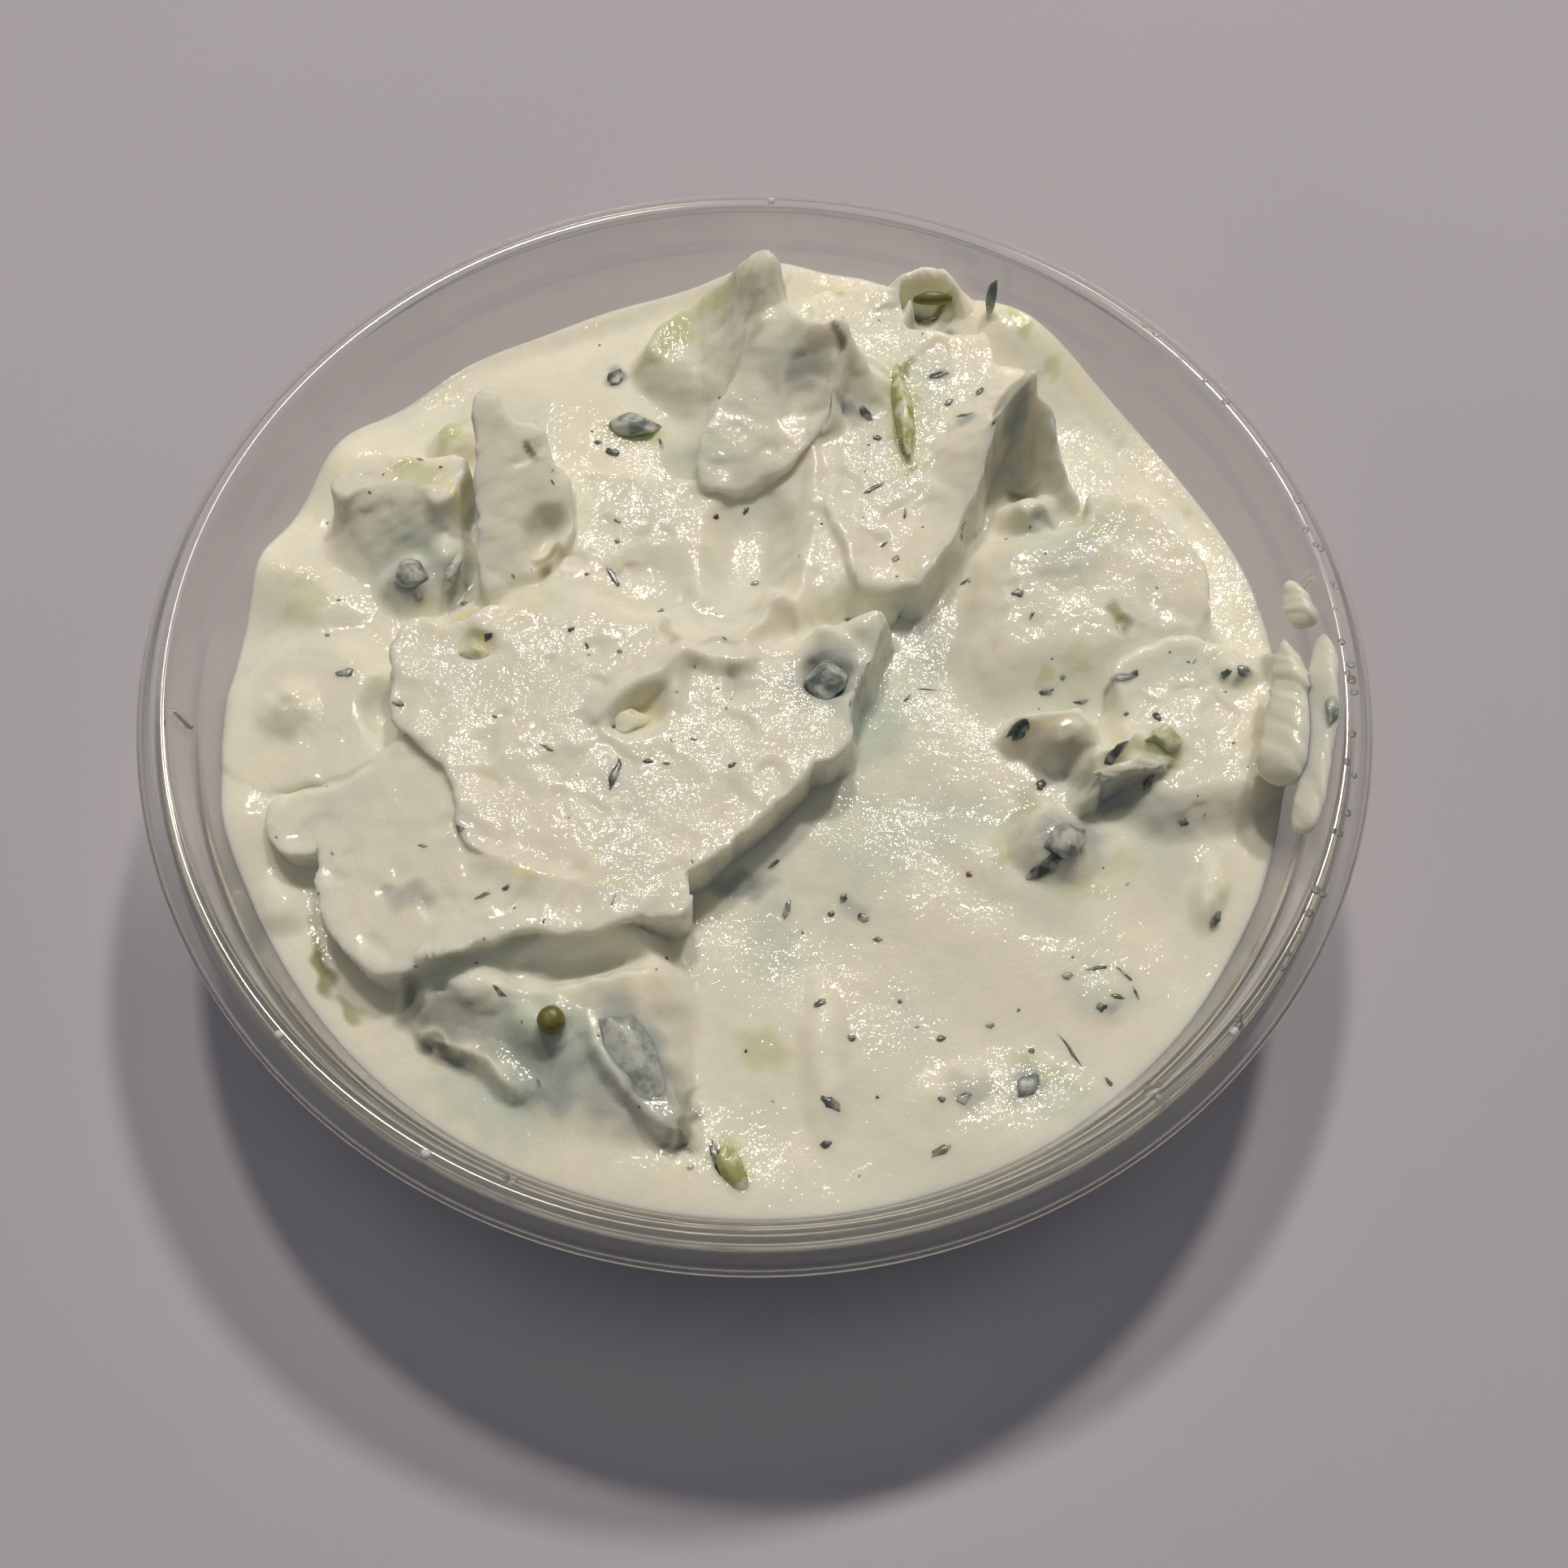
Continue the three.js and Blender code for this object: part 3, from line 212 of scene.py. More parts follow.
def grid_faces(rows, columns, wrap_columns):
    """Quads between neighbouring rows and columns of a grid of points."""
    across = np.arange(columns if wrap_columns else columns - 1)
    j, i = np.meshgrid(np.arange(rows - 1), across, indexing="ij")
    k, above = (i + 1) % columns, (j + 1) * columns
    return np.stack([j * columns + i, j * columns + k, above + k, above + i], -1).reshape(-1, 4)


def capped_faces(rows, columns):
    """Faces of a tube of rings with a fan at each end, to the two points that follow its grid."""
    faces = grid_faces(rows, columns, True).tolist()
    last, end = (rows - 1) * columns, rows * columns
    for i in range(columns):
        k = (i + 1) % columns
        faces += [[end, k, i], [end + 1, last + i, last + k]]
    return faces


profile = rounded([
    [FOOT_INNER - 3, FOOT_RECESS], [FOOT_INNER - FOOT_RECESS, FOOT_RECESS], [FOOT_INNER, 0],
    [FOOT_OUTER, 0], *corner_points(WALL, CORNER_SWEEP)[1:],
    [SEAT_RADIUS + WALL, SEAT_HEIGHT - 0.3], [SEAT_RADIUS + WALL + 0.9, SEAT_HEIGHT + 0.9],
    *([LIP_RADIUS - inward, RIM_TOP - down] for inward, down in LIP),
    [SEAT_RADIUS + 0.85, SEAT_HEIGHT + 1.1], [SEAT_RADIUS + 0.2, SEAT_HEIGHT + 0.5],
    [SEAT_RADIUS, SEAT_HEIGHT], *corner_points(0, CORNER_SWEEP[::-1])[:-1], [FOOT_INNER - 3, FLOOR_TOP],
], ROUNDING)
lug_angles = np.radians(LUG_FIRST + 360 / LUGS * np.arange(LUGS))
near_lug = (lug_angles[:, None] + np.linspace(-0.6, 0.6, LUG_COLUMNS) * LUG_WIDTH / LIP_RADIUS).ravel()
even_angles = np.linspace(0, 2 * np.pi, TUB_AROUND, endpoint=False)
tub_angles = np.unique(np.concatenate([even_angles, near_lug % (2 * np.pi)]))
shell = turned(profile, tub_angles)
off_lug = np.abs((tub_angles[:, None] - lug_angles + np.pi) % (2 * np.pi) - np.pi).min(1) * LIP_RADIUS
# A rib is full over the middle 0.4 of its width and runs out just beyond its sides.
lug_share = np.clip(1.6 - 3 * off_lug / LUG_WIDTH, 0, 1)
on_seat = (profile[:, 0] < LIP_RADIUS - 3.5) & (profile[:, 1] > LUG_BOTTOM) & (profile[:, 1] < LUG_TOP)
inward = 1 - LUG_DEPTH / SEAT_RADIUS * on_seat[:, None] * lug_share[None, :]
shell[..., :2] *= inward[..., None]
shell_points = np.concatenate([shell.reshape(-1, 3), [[0, 0, FOOT_RECESS], [0, 0, FLOOR_TOP]]])

clear_plastic, plastic_shader, place = new_material("Clear moulded polypropylene")
# Natural polypropylene is clear but never quite colourless: thin walls pass light with a faint grey
# haze, and the moulded skin gives long clean highlights along the rim. The thin wall at the back
# lets the lamps' light on to the dip. A shell's shadow would be black there.
flow = node(clear_plastic, "ShaderNodeTexNoise", {"Vector": place, "Scale": 140, "Detail": 2})
haze = node(clear_plastic, "ShaderNodeMapRange", {
    "Value": flow.outputs["Fac"], "To Min": 0.07, "To Max": 0.16})
skin = node(clear_plastic, "ShaderNodeBump", {
    "Height": flow.outputs["Fac"], "Strength": 0.05, "Distance": 0.0002})
side = node(clear_plastic, "ShaderNodeSeparateXYZ", {"Vector": place})
behind = node(clear_plastic, "ShaderNodeMapRange", {
    "Value": side.outputs["Y"], "From Min": -0.012, "From Max": 0.012, "To Max": 0.85})
path = node(clear_plastic, "ShaderNodeLightPath")
passing = node(clear_plastic, "ShaderNodeMath", {
    0: path.outputs["Is Shadow Ray"], 1: behind.outputs["Result"]}, operation="MULTIPLY")
stopping = node(clear_plastic, "ShaderNodeMath", {0: 1, 1: passing.outputs["Value"]}, operation="SUBTRACT")
set_sockets(clear_plastic, plastic_shader, {
    "Base Color": linear("#eeedeb"),
    "Roughness": haze.outputs["Result"],
    "Normal": skin.outputs["Normal"],
    "Transmission Weight": 0.9,
    "IOR": 1.49,
    "Alpha": stopping.outputs["Value"],
})
tub = mesh_object("tub_shell", shell_points, capped_faces(*shell.shape[:2]), clear_plastic)
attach(tub, "root")
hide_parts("tub")

# The dip: strained yogurt, spooned. Its surface is one height over every place in the tub: the pool,
# then layers, lumps and hollows, and last the crests that the spoon pulled up.
POOL = 16.2
CELLS = 304
# Where the dip reaches out to the wall: from the edge zone on it's drawn out, and reaches just into it
EDGE_ZONE, INTO_WALL = 45, 0.06
# How far the dip has crept up the wall: at an angle, over a width in degrees, by a rise, which begins
# at one radius and is whole at another
CREEPS = [
    (60, 11, 4.6), (91, 8, 3.2), (79, 5, 1.4), (150, 7, 2.2), (167, 5, 1.8), (199, 7, 2.0),
    (250, 16, 1.2), (298, 12, 1.2), (120, 18, -1.0),
]
CREEP_FROM, CREEP_TO = 42, 52.5
# Layers: a place with the height there, how the top slopes, how far it hangs over, how much its edge
# is turned up, and the outline as places with the width of the edge there.
LAYERS = {
    "middle layer": ((-10, 13, 18.8), (0.02, 0.02), 0.1, 0.2, [
        (-30.7, 7.7, 3), (-26.5, 10.7, 4), (-22.4, 17.7, 4), (-21.4, 22.7, 1.2), (-20.6, 24.9, 1),
        (-15.3, 24.3, 0.8), (-10.2, 23.7, 0.8), (-6.9, 23.8, 1), (0, 25.8, 2), (5, 29.3, 3),
        (7.1, 21.3, 3), (9.1, 12.2, 3), (4, 4.3, 4), (-12.3, 3.5, 4), (-28.6, 4.7, 4)]),
    "back right layer": ((13, 30, 20.6), (0, 0.03), 0.4, 0.15, [
        (1, 45, 3), (6.6, 48.4, 0.9), (10, 49.3, 0.8), (13, 48, 0.9), (13.9, 45.4, 0.9),
        (14, 43.6, 0.8), (16.4, 43.2, 0.7), (19, 42.8, 0.7), (21.6, 42.7, 0.7), (23.1, 42.9, 0.7),
        (23.6, 40.8, 0.7), (24.2, 39.2, 0.7), (25.4, 38.6, 0.8), (27.6, 38, 1), (27.4, 33.6, 2),
        (23.4, 31, 0.8), (22.4, 26.4, 0.8), (20.6, 20.2, 0.8), (18, 14.9, 0.8), (16.2, 11.8, 0.9),
        (13, 9.4, 2), (9, 9, 3), (5.4, 10, 4), (5.4, 28, 3)]),
    "layer by the right wall": ((44, -2, 18.9), (0.01, -0.02), 0.7, 0.5, [
        (35.8, 1.5, 0.8), (37.4, 3.6, 0.7), (40.4, 5.4, 0.7), (43.2, 5.9, 0.7), (46.7, 4.9, 0.8),
        (49.7, 4.6, 1), (53.2, 4.3, 1.5), (54.1, -2.9, 3), (51.6, -10.1, 3), (45.6, -12.5, 5),
        (38.5, -13.1, 5), (35.5, -7.9, 4), (35.5, -1.8, 2)]),
    "coated round slice": ((33, 10, 19.3), (0.01, 0.08), 0.5, 0.1, [
        (45.9, 8.7, 2), (45.5, 12.4, 0.7), (44.6, 15.3, 0.6), (42.9, 17.7, 0.6), (40.9, 20.1, 0.6),
        (38.9, 21.8, 0.6), (36.7, 22.5, 0.7), (35, 22.8, 0.7), (33.6, 22, 0.8), (32.6, 19.9, 3),
        (29.2, 18.8, 6), (24.7, 17.4, 7), (22.4, 14.1, 7), (22.3, 9.3, 7), (21.5, 4.4, 8),
        (24.4, 0.5, 9), (32.5, 1.5, 9), (38.6, 3.4, 7), (44.6, 5.8, 5)]),
    "round slice at the back": ((-7, 41, 19.7), (0.06, 0.1), 0, 0, [
        (-14.9, 39.8, 2.5), (-13.2, 43.8, 1.8), (-10.3, 46.7, 1.2), (-6.8, 48.7, 0.9), (-2.6, 49, 0.9),
        (1, 45.4, 3), (-1, 39.1, 4), (-4.1, 34.6, 5), (-9.2, 34.8, 5)]),
    "lump under the lip": ((-18, -37, 18.9), (0.1, 0.18), 0.6, 0, [
        (-30.8, -31.2, 3), (-30.8, -34.5, 3), (-29.1, -37.4, 3), (-26.4, -39.4, 3), (-23.4, -40.8, 3),
        (-20.7, -42.7, 3.5), (-18.7, -45.1, 4), (-14.2, -46.1, 5), (-9.2, -45.9, 3.5),
        (-5.4, -45.3, 1.4), (-5.4, -41.4, 2.4), (-6.5, -36.3, 5), (-6.8, -32.2, 5), (-10.2, -27.1, 3),
        (-22.4, -27.1, 3)]),
    "puddle on the left": ((-43, -7, 17.9), (0.05, 0), 0.3, 0.1, [
        (-51.7, -12.3, 1.2), (-48.2, -14.2, 1), (-45.1, -13.8, 1), (-40.9, -13, 1), (-37.8, -11.2, 1),
        (-35.9, -7.6, 2), (-36.8, -1.5, 4), (-40.9, 2.7, 5), (-47.2, 3.9, 5), (-52.4, -1, 4),
        (-53.4, -7.2, 3)]),
    "left layer": ((-36, -22, 19.8), (0.12, 0.01), 0.8, 0.15, [
        (-45.1, -15, 1.6), (-46.2, -17.3, 1), (-45.7, -19.4, 0.9), (-43.9, -20.8, 0.9),
        (-41.6, -20.8, 0.9), (-40.5, -20.5, 0.9), (-39.8, -22.3, 0.8), (-39.4, -25.4, 0.8),
        (-38.2, -28.2, 0.8), (-36.6, -30.5, 0.8), (-34.3, -32.4, 1), (-31.7, -32.9, 1.2),
        (-29.1, -32.2, 1.4), (-21.9, -28.2, 3), (-19.9, -20.3, 3), (-27, -10, 4), (-34.2, -7.6, 3),
        (-38.4, -12.3, 3)]),
    "spooned plateau": ((-15, -12, 21.4), (0.008, -0.01), 0.9, 0.25, [
        (-35.1, 2.6, 0.8), (-35.3, -1, 0.6), (-35.2, -4.6, 0.6), (-34.2, -7.6, 0.7), (-31.6, -10, 0.8),
        (-29.4, -12.2, 0.9), (-27.8, -15.2, 0.9), (-26.8, -18.2, 0.9), (-25.6, -20.4, 0.9),
        (-23, -22, 1.6), (-20.5, -23.6, 3), (-22, -26, 5), (-26, -28.5, 4), (-29.4, -31.4, 1.3),
        (-26.6, -30.8, 0.8), (-24, -29.8, 0.8), (-21, -28.9, 0.8), (-17, -28.6, 0.8),
        (-13.4, -28.1, 0.8), (-10, -27, 0.7), (-6.6, -26.5, 0.7), (-5.7, -25.8, 0.7), (-6, -22.8, 0.8),
        (-4.4, -21.4, 0.7), (-2, -18.9, 0.7), (0.6, -16.5, 0.7), (3, -14.4, 0.7), (4.4, -12.6, 0.7),
        (5.2, -11, 0.7), (7.4, -10.2, 0.7), (8.5, -8.6, 0.8), (8.3, -5, 0.9), (9.2, -1.8, 1),
        (10.6, 1.4, 1), (11.6, 4.6, 1), (9, 6, 2), (6, 5, 3), (2, 4, 5), (-6, 5, 5), (-14, 7, 6),
        (-22, 8, 6), (-27, 6, 2), (-28.4, 3.6, 1), (-31, 2.6, 0.9), (-33.4, 3.3, 0.8)]),
    "lump left of the fin": ((-38, 20.6, 21.4), (0.02, -0.06), 0.4, 0, [
        (-45.2, 18.4, 1.8), (-44.6, 21.2, 1.5), (-43, 23.2, 1.5), (-40, 24.3, 1.8), (-36, 24.2, 2),
        (-32, 23.4, 0.9), (-31.5, 21.4, 0.7), (-32, 19, 0.8), (-32.4, 17, 3), (-34, 15.4, 9),
        (-38, 14.8, 11), (-42, 14.8, 10), (-44.4, 16, 6)]),
    "fin": ((-28.8, 27.9, 27), (-0.336, 0.332), 0.6, 0, [
        (-28.2, 8, 1.6), (-28.8, 13.3, 0.6), (-29.3, 17.8, 0.6), (-29.8, 23.1, 0.6),
        (-29.7, 26.4, 0.5), (-28.8, 28.1, 0.5), (-27.6, 26.6, 0.6), (-26.6, 25.6, 0.7),
        (-24.8, 25.4, 0.6), (-23.8, 26.1, 0.5), (-23.3, 24.1, 0.7), (-22, 22.1, 0.7),
        (-20.4, 20.9, 0.6), (-20.3, 18.3, 0.7), (-20.1, 15.2, 0.9), (-21.1, 12.6, 1.2),
        (-23.7, 9.9, 2), (-26, 8, 3)]),
    "foot of the double peak": ((-3, 24, 20.5), (0.05, 0.2), 0.8, 0, [
        (-6.9, 22.6, 0.8), (-5, 22, 0.9), (-2, 22.2, 1), (1, 23.8, 0.9), (3.5, 26.4, 0.8),
        (5, 28.8, 0.7), (5.8, 32, 1), (6.4, 36, 2), (2, 41, 3), (-1.5, 44, 3), (-3, 38, 1.8),
        (-4.4, 33, 1), (-6, 29.6, 0.9), (-6.9, 26.5, 0.8)]),
}
# Widths of a layer's edge: the narrowest, and where it counts as sharp and as soft
EDGE_LEAST, EDGE_SHARP, EDGE_SOFT = 0.4, 0.8, 2.5
# Its turned-up lip: how far in from the edge it's highest, and how broad it is
LIP_IN, LIP_BROAD = 0.6, 1.4
# An overhang is whole at the edge and gone this far in from it
HANG_WHOLE, HANG_GONE = 0.4, 3.5
# Lumps and hollows: middle, half sizes, turn in degrees and the height of the top or the bottom. A lump
# is flat over a share of its half size, and a hollow is broader at the bottom the higher its power.
LUMP_FLAT, HOLLOW_POWER = 0.2, 1.6
LUMPS = [
    (-33.6, 28.6, 4, 4.4, -20, 18.9), (-46.4, -5.3, 3.9, 4.2, 0, 18.6), (-35.6, 10, 5, 4, 0, 19),
    (-32.6, 13.2, 2.6, 4, 0, 19.4), (-45, 7.6, 5.4, 5, 0, 17.6), (30.1, -5.9, 3.8, 3.2, 0, 20.4),
    (39.7, -6.7, 2.6, 2.4, 0, 20.5), (28.5, -16.9, 5.4, 5, 0, 19.4), (48, 2.3, 3.2, 1.8, 0, 19.9),
    (27.8, 21.1, 4, 3.2, 0, 20.1), (20, -41.6, 5.6, 4, 0, 17), (33.4, -31.4, 3.7, 3.5, 0, 16.9),
    (-17.4, -36.7, 4.2, 3.4, 0, 19.9), (-23.6, -33.7, 4.6, 2.6, -18, 20),
    (27.2, 46.8, 2, 4.4, -20, 20.8), (-44.7, -25.5, 4, 3, -60, 17.2), (19, 7.2, 1, 1, 0, 17.4),
    (25, -19.4, 10, 4.6, -32, 17.1), (44.2, -20.6, 2.4, 5, -6, 17.2), (7.6, -38.6, 2.6, 10, 4, 16.9),
]
HOLLOWS = [
    (-1.6, 14.6, 5.6, 11, -4, 16.9), (-12, 10.5, 6, 5, 20, 18.1), (18.4, 8.6, 4.2, 9.6, -14, 15.8),
    (25.8, 26, 2.8, 3.6, 0, 17.6), (-22.9, 14.6, 2, 4.2, -18, 18.5), (-11.2, -5.6, 4.6, 2.7, 35, 19.6),
    (-37, -5, 2.4, 4.6, 10, 16.2), (-30.6, 4.8, 1.6, 2.8, -28, 17.4), (-27.7, 0.6, 2.4, 1.7, 20, 20.1),
    (17.2, 45.3, 2.8, 1.8, 0, 19), (34.8, -11.8, 2.8, 1.7, 10, 16.6), (6.6, -1.2, 2.6, 2.8, 0, 19.8),
    (3.4, 33.4, 2.4, 5.4, -12, 21.2), (-2.4, -2.6, 0.9, 2.6, 10, 20.7),
    (-14.6, -30.8, 10, 2.6, 11, 17.1),
]
# Crests: points with the crest's height, the width of the face on the left and right, the lean left
CRESTS = [
    ([(-0.7, 46.1, 28.5), (-1.7, 43, 26.4), (-2.4, 38.5, 24), (-3.6, 33.5, 21.9),
      (-5.4, 29.5, 20.6)], 2.2, 7.5, 0),
    ([(7, 37.3, 28), (5.8, 37.7, 27), (4, 38.2, 27.1), (2.4, 39.4, 26.4), (0.8, 42.3, 25.4),
      (-0.7, 46, 28.4)], 9, 1.6, -0.4),
    ([(7, 37.3, 28), (7.2, 36.1, 26.6), (6.9, 34.6, 25), (6.6, 32.7, 23.8), (6.3, 30.5, 22.8),
      (5.7, 29.2, 21.9), (5, 28.4, 21.2)], 1.3, 3.4, 0.4),
    ([(5, 28.4, 21.2), (5.3, 24, 20.9), (5.4, 19, 20.7), (5, 14, 20.5), (4.4, 9.5, 20.5),
      (3.6, 6.9, 21.2), (1.9, 7.3, 22.3), (0.4, 4.6, 21.9), (-1.4, 2.2, 21.6)], 2.4, 5, -0.3),
    ([(6.8, 20.4, 20.8), (8.2, 16, 21.1), (9.7, 11.2, 21)], 3, 0.8, -0.3),
    ([(15.2, 10.4, 20.9), (16.6, 12.2, 21.3), (18, 14.8, 21.6), (19.8, 18.2, 22.1), (20.8, 20.2, 22.7),
      (21.6, 22.6, 23.4), (22.1, 24.7, 24.2), (22.6, 27.6, 25.2), (23.8, 28.9, 26.2),
      (26.5, 31.8, 28.2)], 5.5, 1.6, -0.5),
    ([(26.5, 31.8, 28.2), (27.2, 30.7, 26.2), (28.8, 29.9, 25.4), (29.6, 28.3, 24.4),
      (30.3, 25.8, 22.6), (30.8, 24.2, 21.4), (32.3, 22.1, 19.6)], 1.8, 3, 0.3),
    ([(12.4, 47, 21.6), (13.8, 49, 22.6), (16, 49.8, 23.1), (18.2, 49.6, 23),
      (19.6, 48.2, 22.4)], 2.6, 1.1, -0.6),
    ([(14.7, 47, 21.8), (14.1, 44.6, 21.7), (13.6, 42, 21.1)], 1.4, 1.2, 0),
    ([(5.4, 1.4, 21.8), (6.4, 3.4, 22.8), (8.2, 3, 22), (11.8, 5.2, 23), (10.9, 2, 22.2),
      (9.4, -2.2, 22), (8.4, -5.4, 22.2), (8.2, -8.4, 21.9)], 1.4, 1.8, 0.3),
    ([(-14.8, -6.6, 21.9), (-12.4, -3.4, 22.3), (-9, -1.5, 22.5), (-7.4, 0.4, 23.1), (-4.6, -0.4, 22.3),
      (-1.4, 0, 22.4)], 2, 1.1, 0),
    ([(-7.4, 0.4, 23), (-8, -2, 22.2), (-8, -4.6, 21.8)], 1.2, 1.4, 0),
    ([(-23.6, -21.4, 21.9), (-20.4, -23, 21.9), (-16.4, -24, 21.8)], 1.6, 2.4, 0),
    ([(32.6, -11.6, 19.4), (33.3, -10.5, 20.5), (36, -9.5, 20.8), (39, -8.8, 20.4)], 2, 0.9, -0.5),
    ([(26, -4.4, 20.1), (28.6, -3.7, 20.9), (31.4, -3.8, 21), (33, -5.6, 20.6),
      (33.1, -8.2, 19.8)], 1.6, 2.4, 0),
    ([(33, -8.4, 20.4), (35.4, -7, 21.2), (37, -5.6, 20.8)], 1, 1.6, 0),
    ([(-14.4, -35.4, 19.6), (-12.8, -38.6, 20.2), (-10, -42.6, 20.2), (-5.6, -46, 19.4)], 2.6, 1, 0),
    ([(-27, -39, 18.9), (-22.6, -40.6, 19.2), (-20, -43, 18.9)], 2.4, 0.8, 0.4),
]
CREST_ROUND = 0.12
# A broad face falls away in a deep curve, a narrow one nearly straight: powers, and where broad begins
BROAD_FACE, BROAD_POWER, NARROW_POWER = 4, 2.1, 1.1
# The torn grain begins and is full this far over the pool, and runs out towards the wall: the radii
# where its height and its shift sideways are whole and gone
GRAIN_FROM, GRAIN_TO = 0.8, 2.6
GRAIN_WHOLE, GRAIN_GONE, SHIFT_WHOLE, SHIFT_GONE = 50, 53.5, 47, 52.5
PIT_DEPTH, SIDEWAYS = 0.22, 0.22
LATTICE = 64


def step(a, b, value):
    """The S curve 3t^2 - 2t^3 from 0 at a to 1 at b, whichever of the two is the larger."""
    t = np.clip((value - a) / (b - a), 0, 1)
    return t * t * (3 - 2 * t)


def catmull_rom(a, b, c, d, t):
    """The cubic from b to c that leaves b along c - a and comes to c along d - b, both halved."""
    square, cube = 2 * a - 5 * b + 4 * c - d, 3 * b - a - 3 * c + d
    return 0.5 * (2 * b + (c - a) * t + square * t ** 2 + cube * t ** 3)


def smooth_loop(points, steps=4):
    """Catmull-Rom curve through a closed run of points."""
    p = np.asarray(points, float)
    t = np.linspace(0, 1, steps, endpoint=False)[None, :, None]
    around = (np.roll(p, k, 0)[:, None, :] for k in (1, 0, -1, -2))
    return catmull_rom(*around, t).reshape(-1, p.shape[1])


def nearest(x, y, run, closed):
    """Distance to a run of points, the side (left is +1), the third value there and the way off it."""
    run = np.asarray(run, float)
    best = np.full(x.shape, np.inf)
    side, third = np.ones(x.shape), np.zeros(x.shape)
    off_x, off_y, left_x, left_y = (np.zeros(x.shape) for _ in range(4))
    for a, b in zip(run, np.roll(run, -1, 0) if closed else run[1:]):
        dx, dy = b[0] - a[0], b[1] - a[1]
        along = np.clip(((x - a[0]) * dx + (y - a[1]) * dy) / (dx * dx + dy * dy), 0, 1)
        px, py = x - a[0] - along * dx, y - a[1] - along * dy
        distance = np.hypot(px, py)
        closer = distance < best
        best = np.where(closer, distance, best)
        side = np.where(closer, np.where(dx * py - dy * px >= 0, 1, -1), side)
        third = np.where(closer, a[2] + (b[2] - a[2]) * along, third)
        safe, length = np.maximum(distance, 1e-6), math.hypot(dx, dy)
        off_x, off_y = np.where(closer, px / safe, off_x), np.where(closer, py / safe, off_y)
        left_x, left_y = np.where(closer, -dy / length, left_x), np.where(closer, dx / length, left_y)
    return best, side, third, (off_x, off_y), (left_x, left_y)


def is_inside(x, y, outline):
    """True where a ray to the right crosses the outline an odd number of times."""
    odd = np.zeros(x.shape, bool)
    for (ax, ay, _), (bx, by, _) in zip(outline, np.roll(outline, -1, 0)):
        crosses = (ay > y) != (by > y)
        with np.errstate(divide="ignore", invalid="ignore"):
            odd ^= crosses & (x < ax + (bx - ax) * (y - ay) / (by - ay))
    return odd


def oval(x, y, spot):
    """Distance from an oval's middle, 1 at its edge."""
    turn = math.radians(spot[4])
    dx, dy = x - spot[0], y - spot[1]
    return np.hypot((dx * math.cos(turn) + dy * math.sin(turn)) / spot[2],
                    (dy * math.cos(turn) - dx * math.sin(turn)) / spot[3])


def lattice_noise(x, y, cell, seed):
    """Smooth noise from -1 to 1: seeded values on a square lattice, blended with S curves."""
    values = np.random.default_rng(seed).uniform(-1, 1, (LATTICE, LATTICE))
    u, v = x / cell + 32.37, y / cell + 32.71
    i, j = np.floor(u).astype(int), np.floor(v).astype(int)
    s, t = step(0, 1, u - i), step(0, 1, v - j)
    i, j, right, up = i % LATTICE, j % LATTICE, (i + 1) % LATTICE, (j + 1) % LATTICE
    near, far = ((1 - s) * values[i, row] + s * values[right, row] for row in (j, up))
    return (1 - t) * near + t * far


def pool_height(x, y):
    """The pool under the layers: slow waves of a third of a millimetre, and what crept up the wall."""
    radius, angle = np.hypot(x, y), np.degrees(np.arctan2(y, x))
    z = POOL + 0.35 * np.sin(x / 7 + 1) * np.cos(y / 9) + 0.2 * np.sin((x + 2 * y) / 6)
    for at, width, rise in CREEPS:
        off = (angle - at + 180) % 360 - 180
        z = z + rise * np.exp(-(off / width) ** 2) * step(CREEP_FROM, CREEP_TO, radius)
    return z


def lay(layer, x, y, wave_x, wave_y, z):
    """The height with a layer on it, and the shift in x and y by which its sharp edges hang over."""
    (at_x, at_y, height), (slope_x, slope_y), over, lip, corners = layer
    outline = smooth_loop(corners)
    distance, _, edge, (off_x, off_y), _ = nearest(wave_x, wave_y, outline, True)
    depth = np.where(is_inside(wave_x, wave_y, outline), distance, -distance)
    edge = np.maximum(edge, EDGE_LEAST)
    share, sharp = step(-edge / 2, edge / 2, depth), step(EDGE_SOFT, EDGE_SHARP, edge)
    top = height + slope_x * (x - at_x) + slope_y * (y - at_y)
    top = top + lip * sharp * np.exp(-((depth - LIP_IN) / LIP_BROAD) ** 2)
    raised = top > z
    outward = step(HANG_GONE, HANG_WHOLE, depth) * np.where(depth > 0, -1, 1)
    push = over * share * outward * raised * sharp
    return np.where(raised, z + (top - z) * share, z), push * off_x, push * off_y


def pull(crest, wave_x, wave_y, z):
    """The height with a crest pulled up from it, and the shift in x and y by which the crest leans."""
    run, left_width, right_width, lean = crest
    distance, side, height, _, (left_x, left_y) = nearest(wave_x, wave_y, run, False)
    width = np.where(side > 0, left_width, right_width)
    rounded_off = np.hypot(distance, CREST_ROUND) - CREST_ROUND
    power = np.where(width > BROAD_FACE, BROAD_POWER, NARROW_POWER)
    share = np.clip(1 - rounded_off / width, 0, 1) ** power * (height > z)
    return z + (height - z) * share, lean * share * left_x, lean * share * left_y


def torn_grain(x, y, z):
    """The fine relief of torn yogurt: three noises on slanted, bent places, and scattered pits."""
    slant_x = 0.8 * x + 0.6 * y + 0.7 * np.sin(0.9 * y + 0.3 * x)
    slant_y = 0.8 * y - 0.6 * x + 0.7 * np.sin(0.8 * x - 0.4 * y)
    coarse, middling = lattice_noise(slant_x, slant_y, 4.4, 11), lattice_noise(slant_y, slant_x, 1.9, 12)
    grain = 0.13 * coarse + 0.08 * middling + 0.035 * lattice_noise(x, y, 0.9, 13)
    pits = step(0.34, 0.7, lattice_noise(slant_x, slant_y, 2.3, 16))
    return grain - PIT_DEPTH * pits * step(GRAIN_FROM, GRAIN_TO, z - POOL)


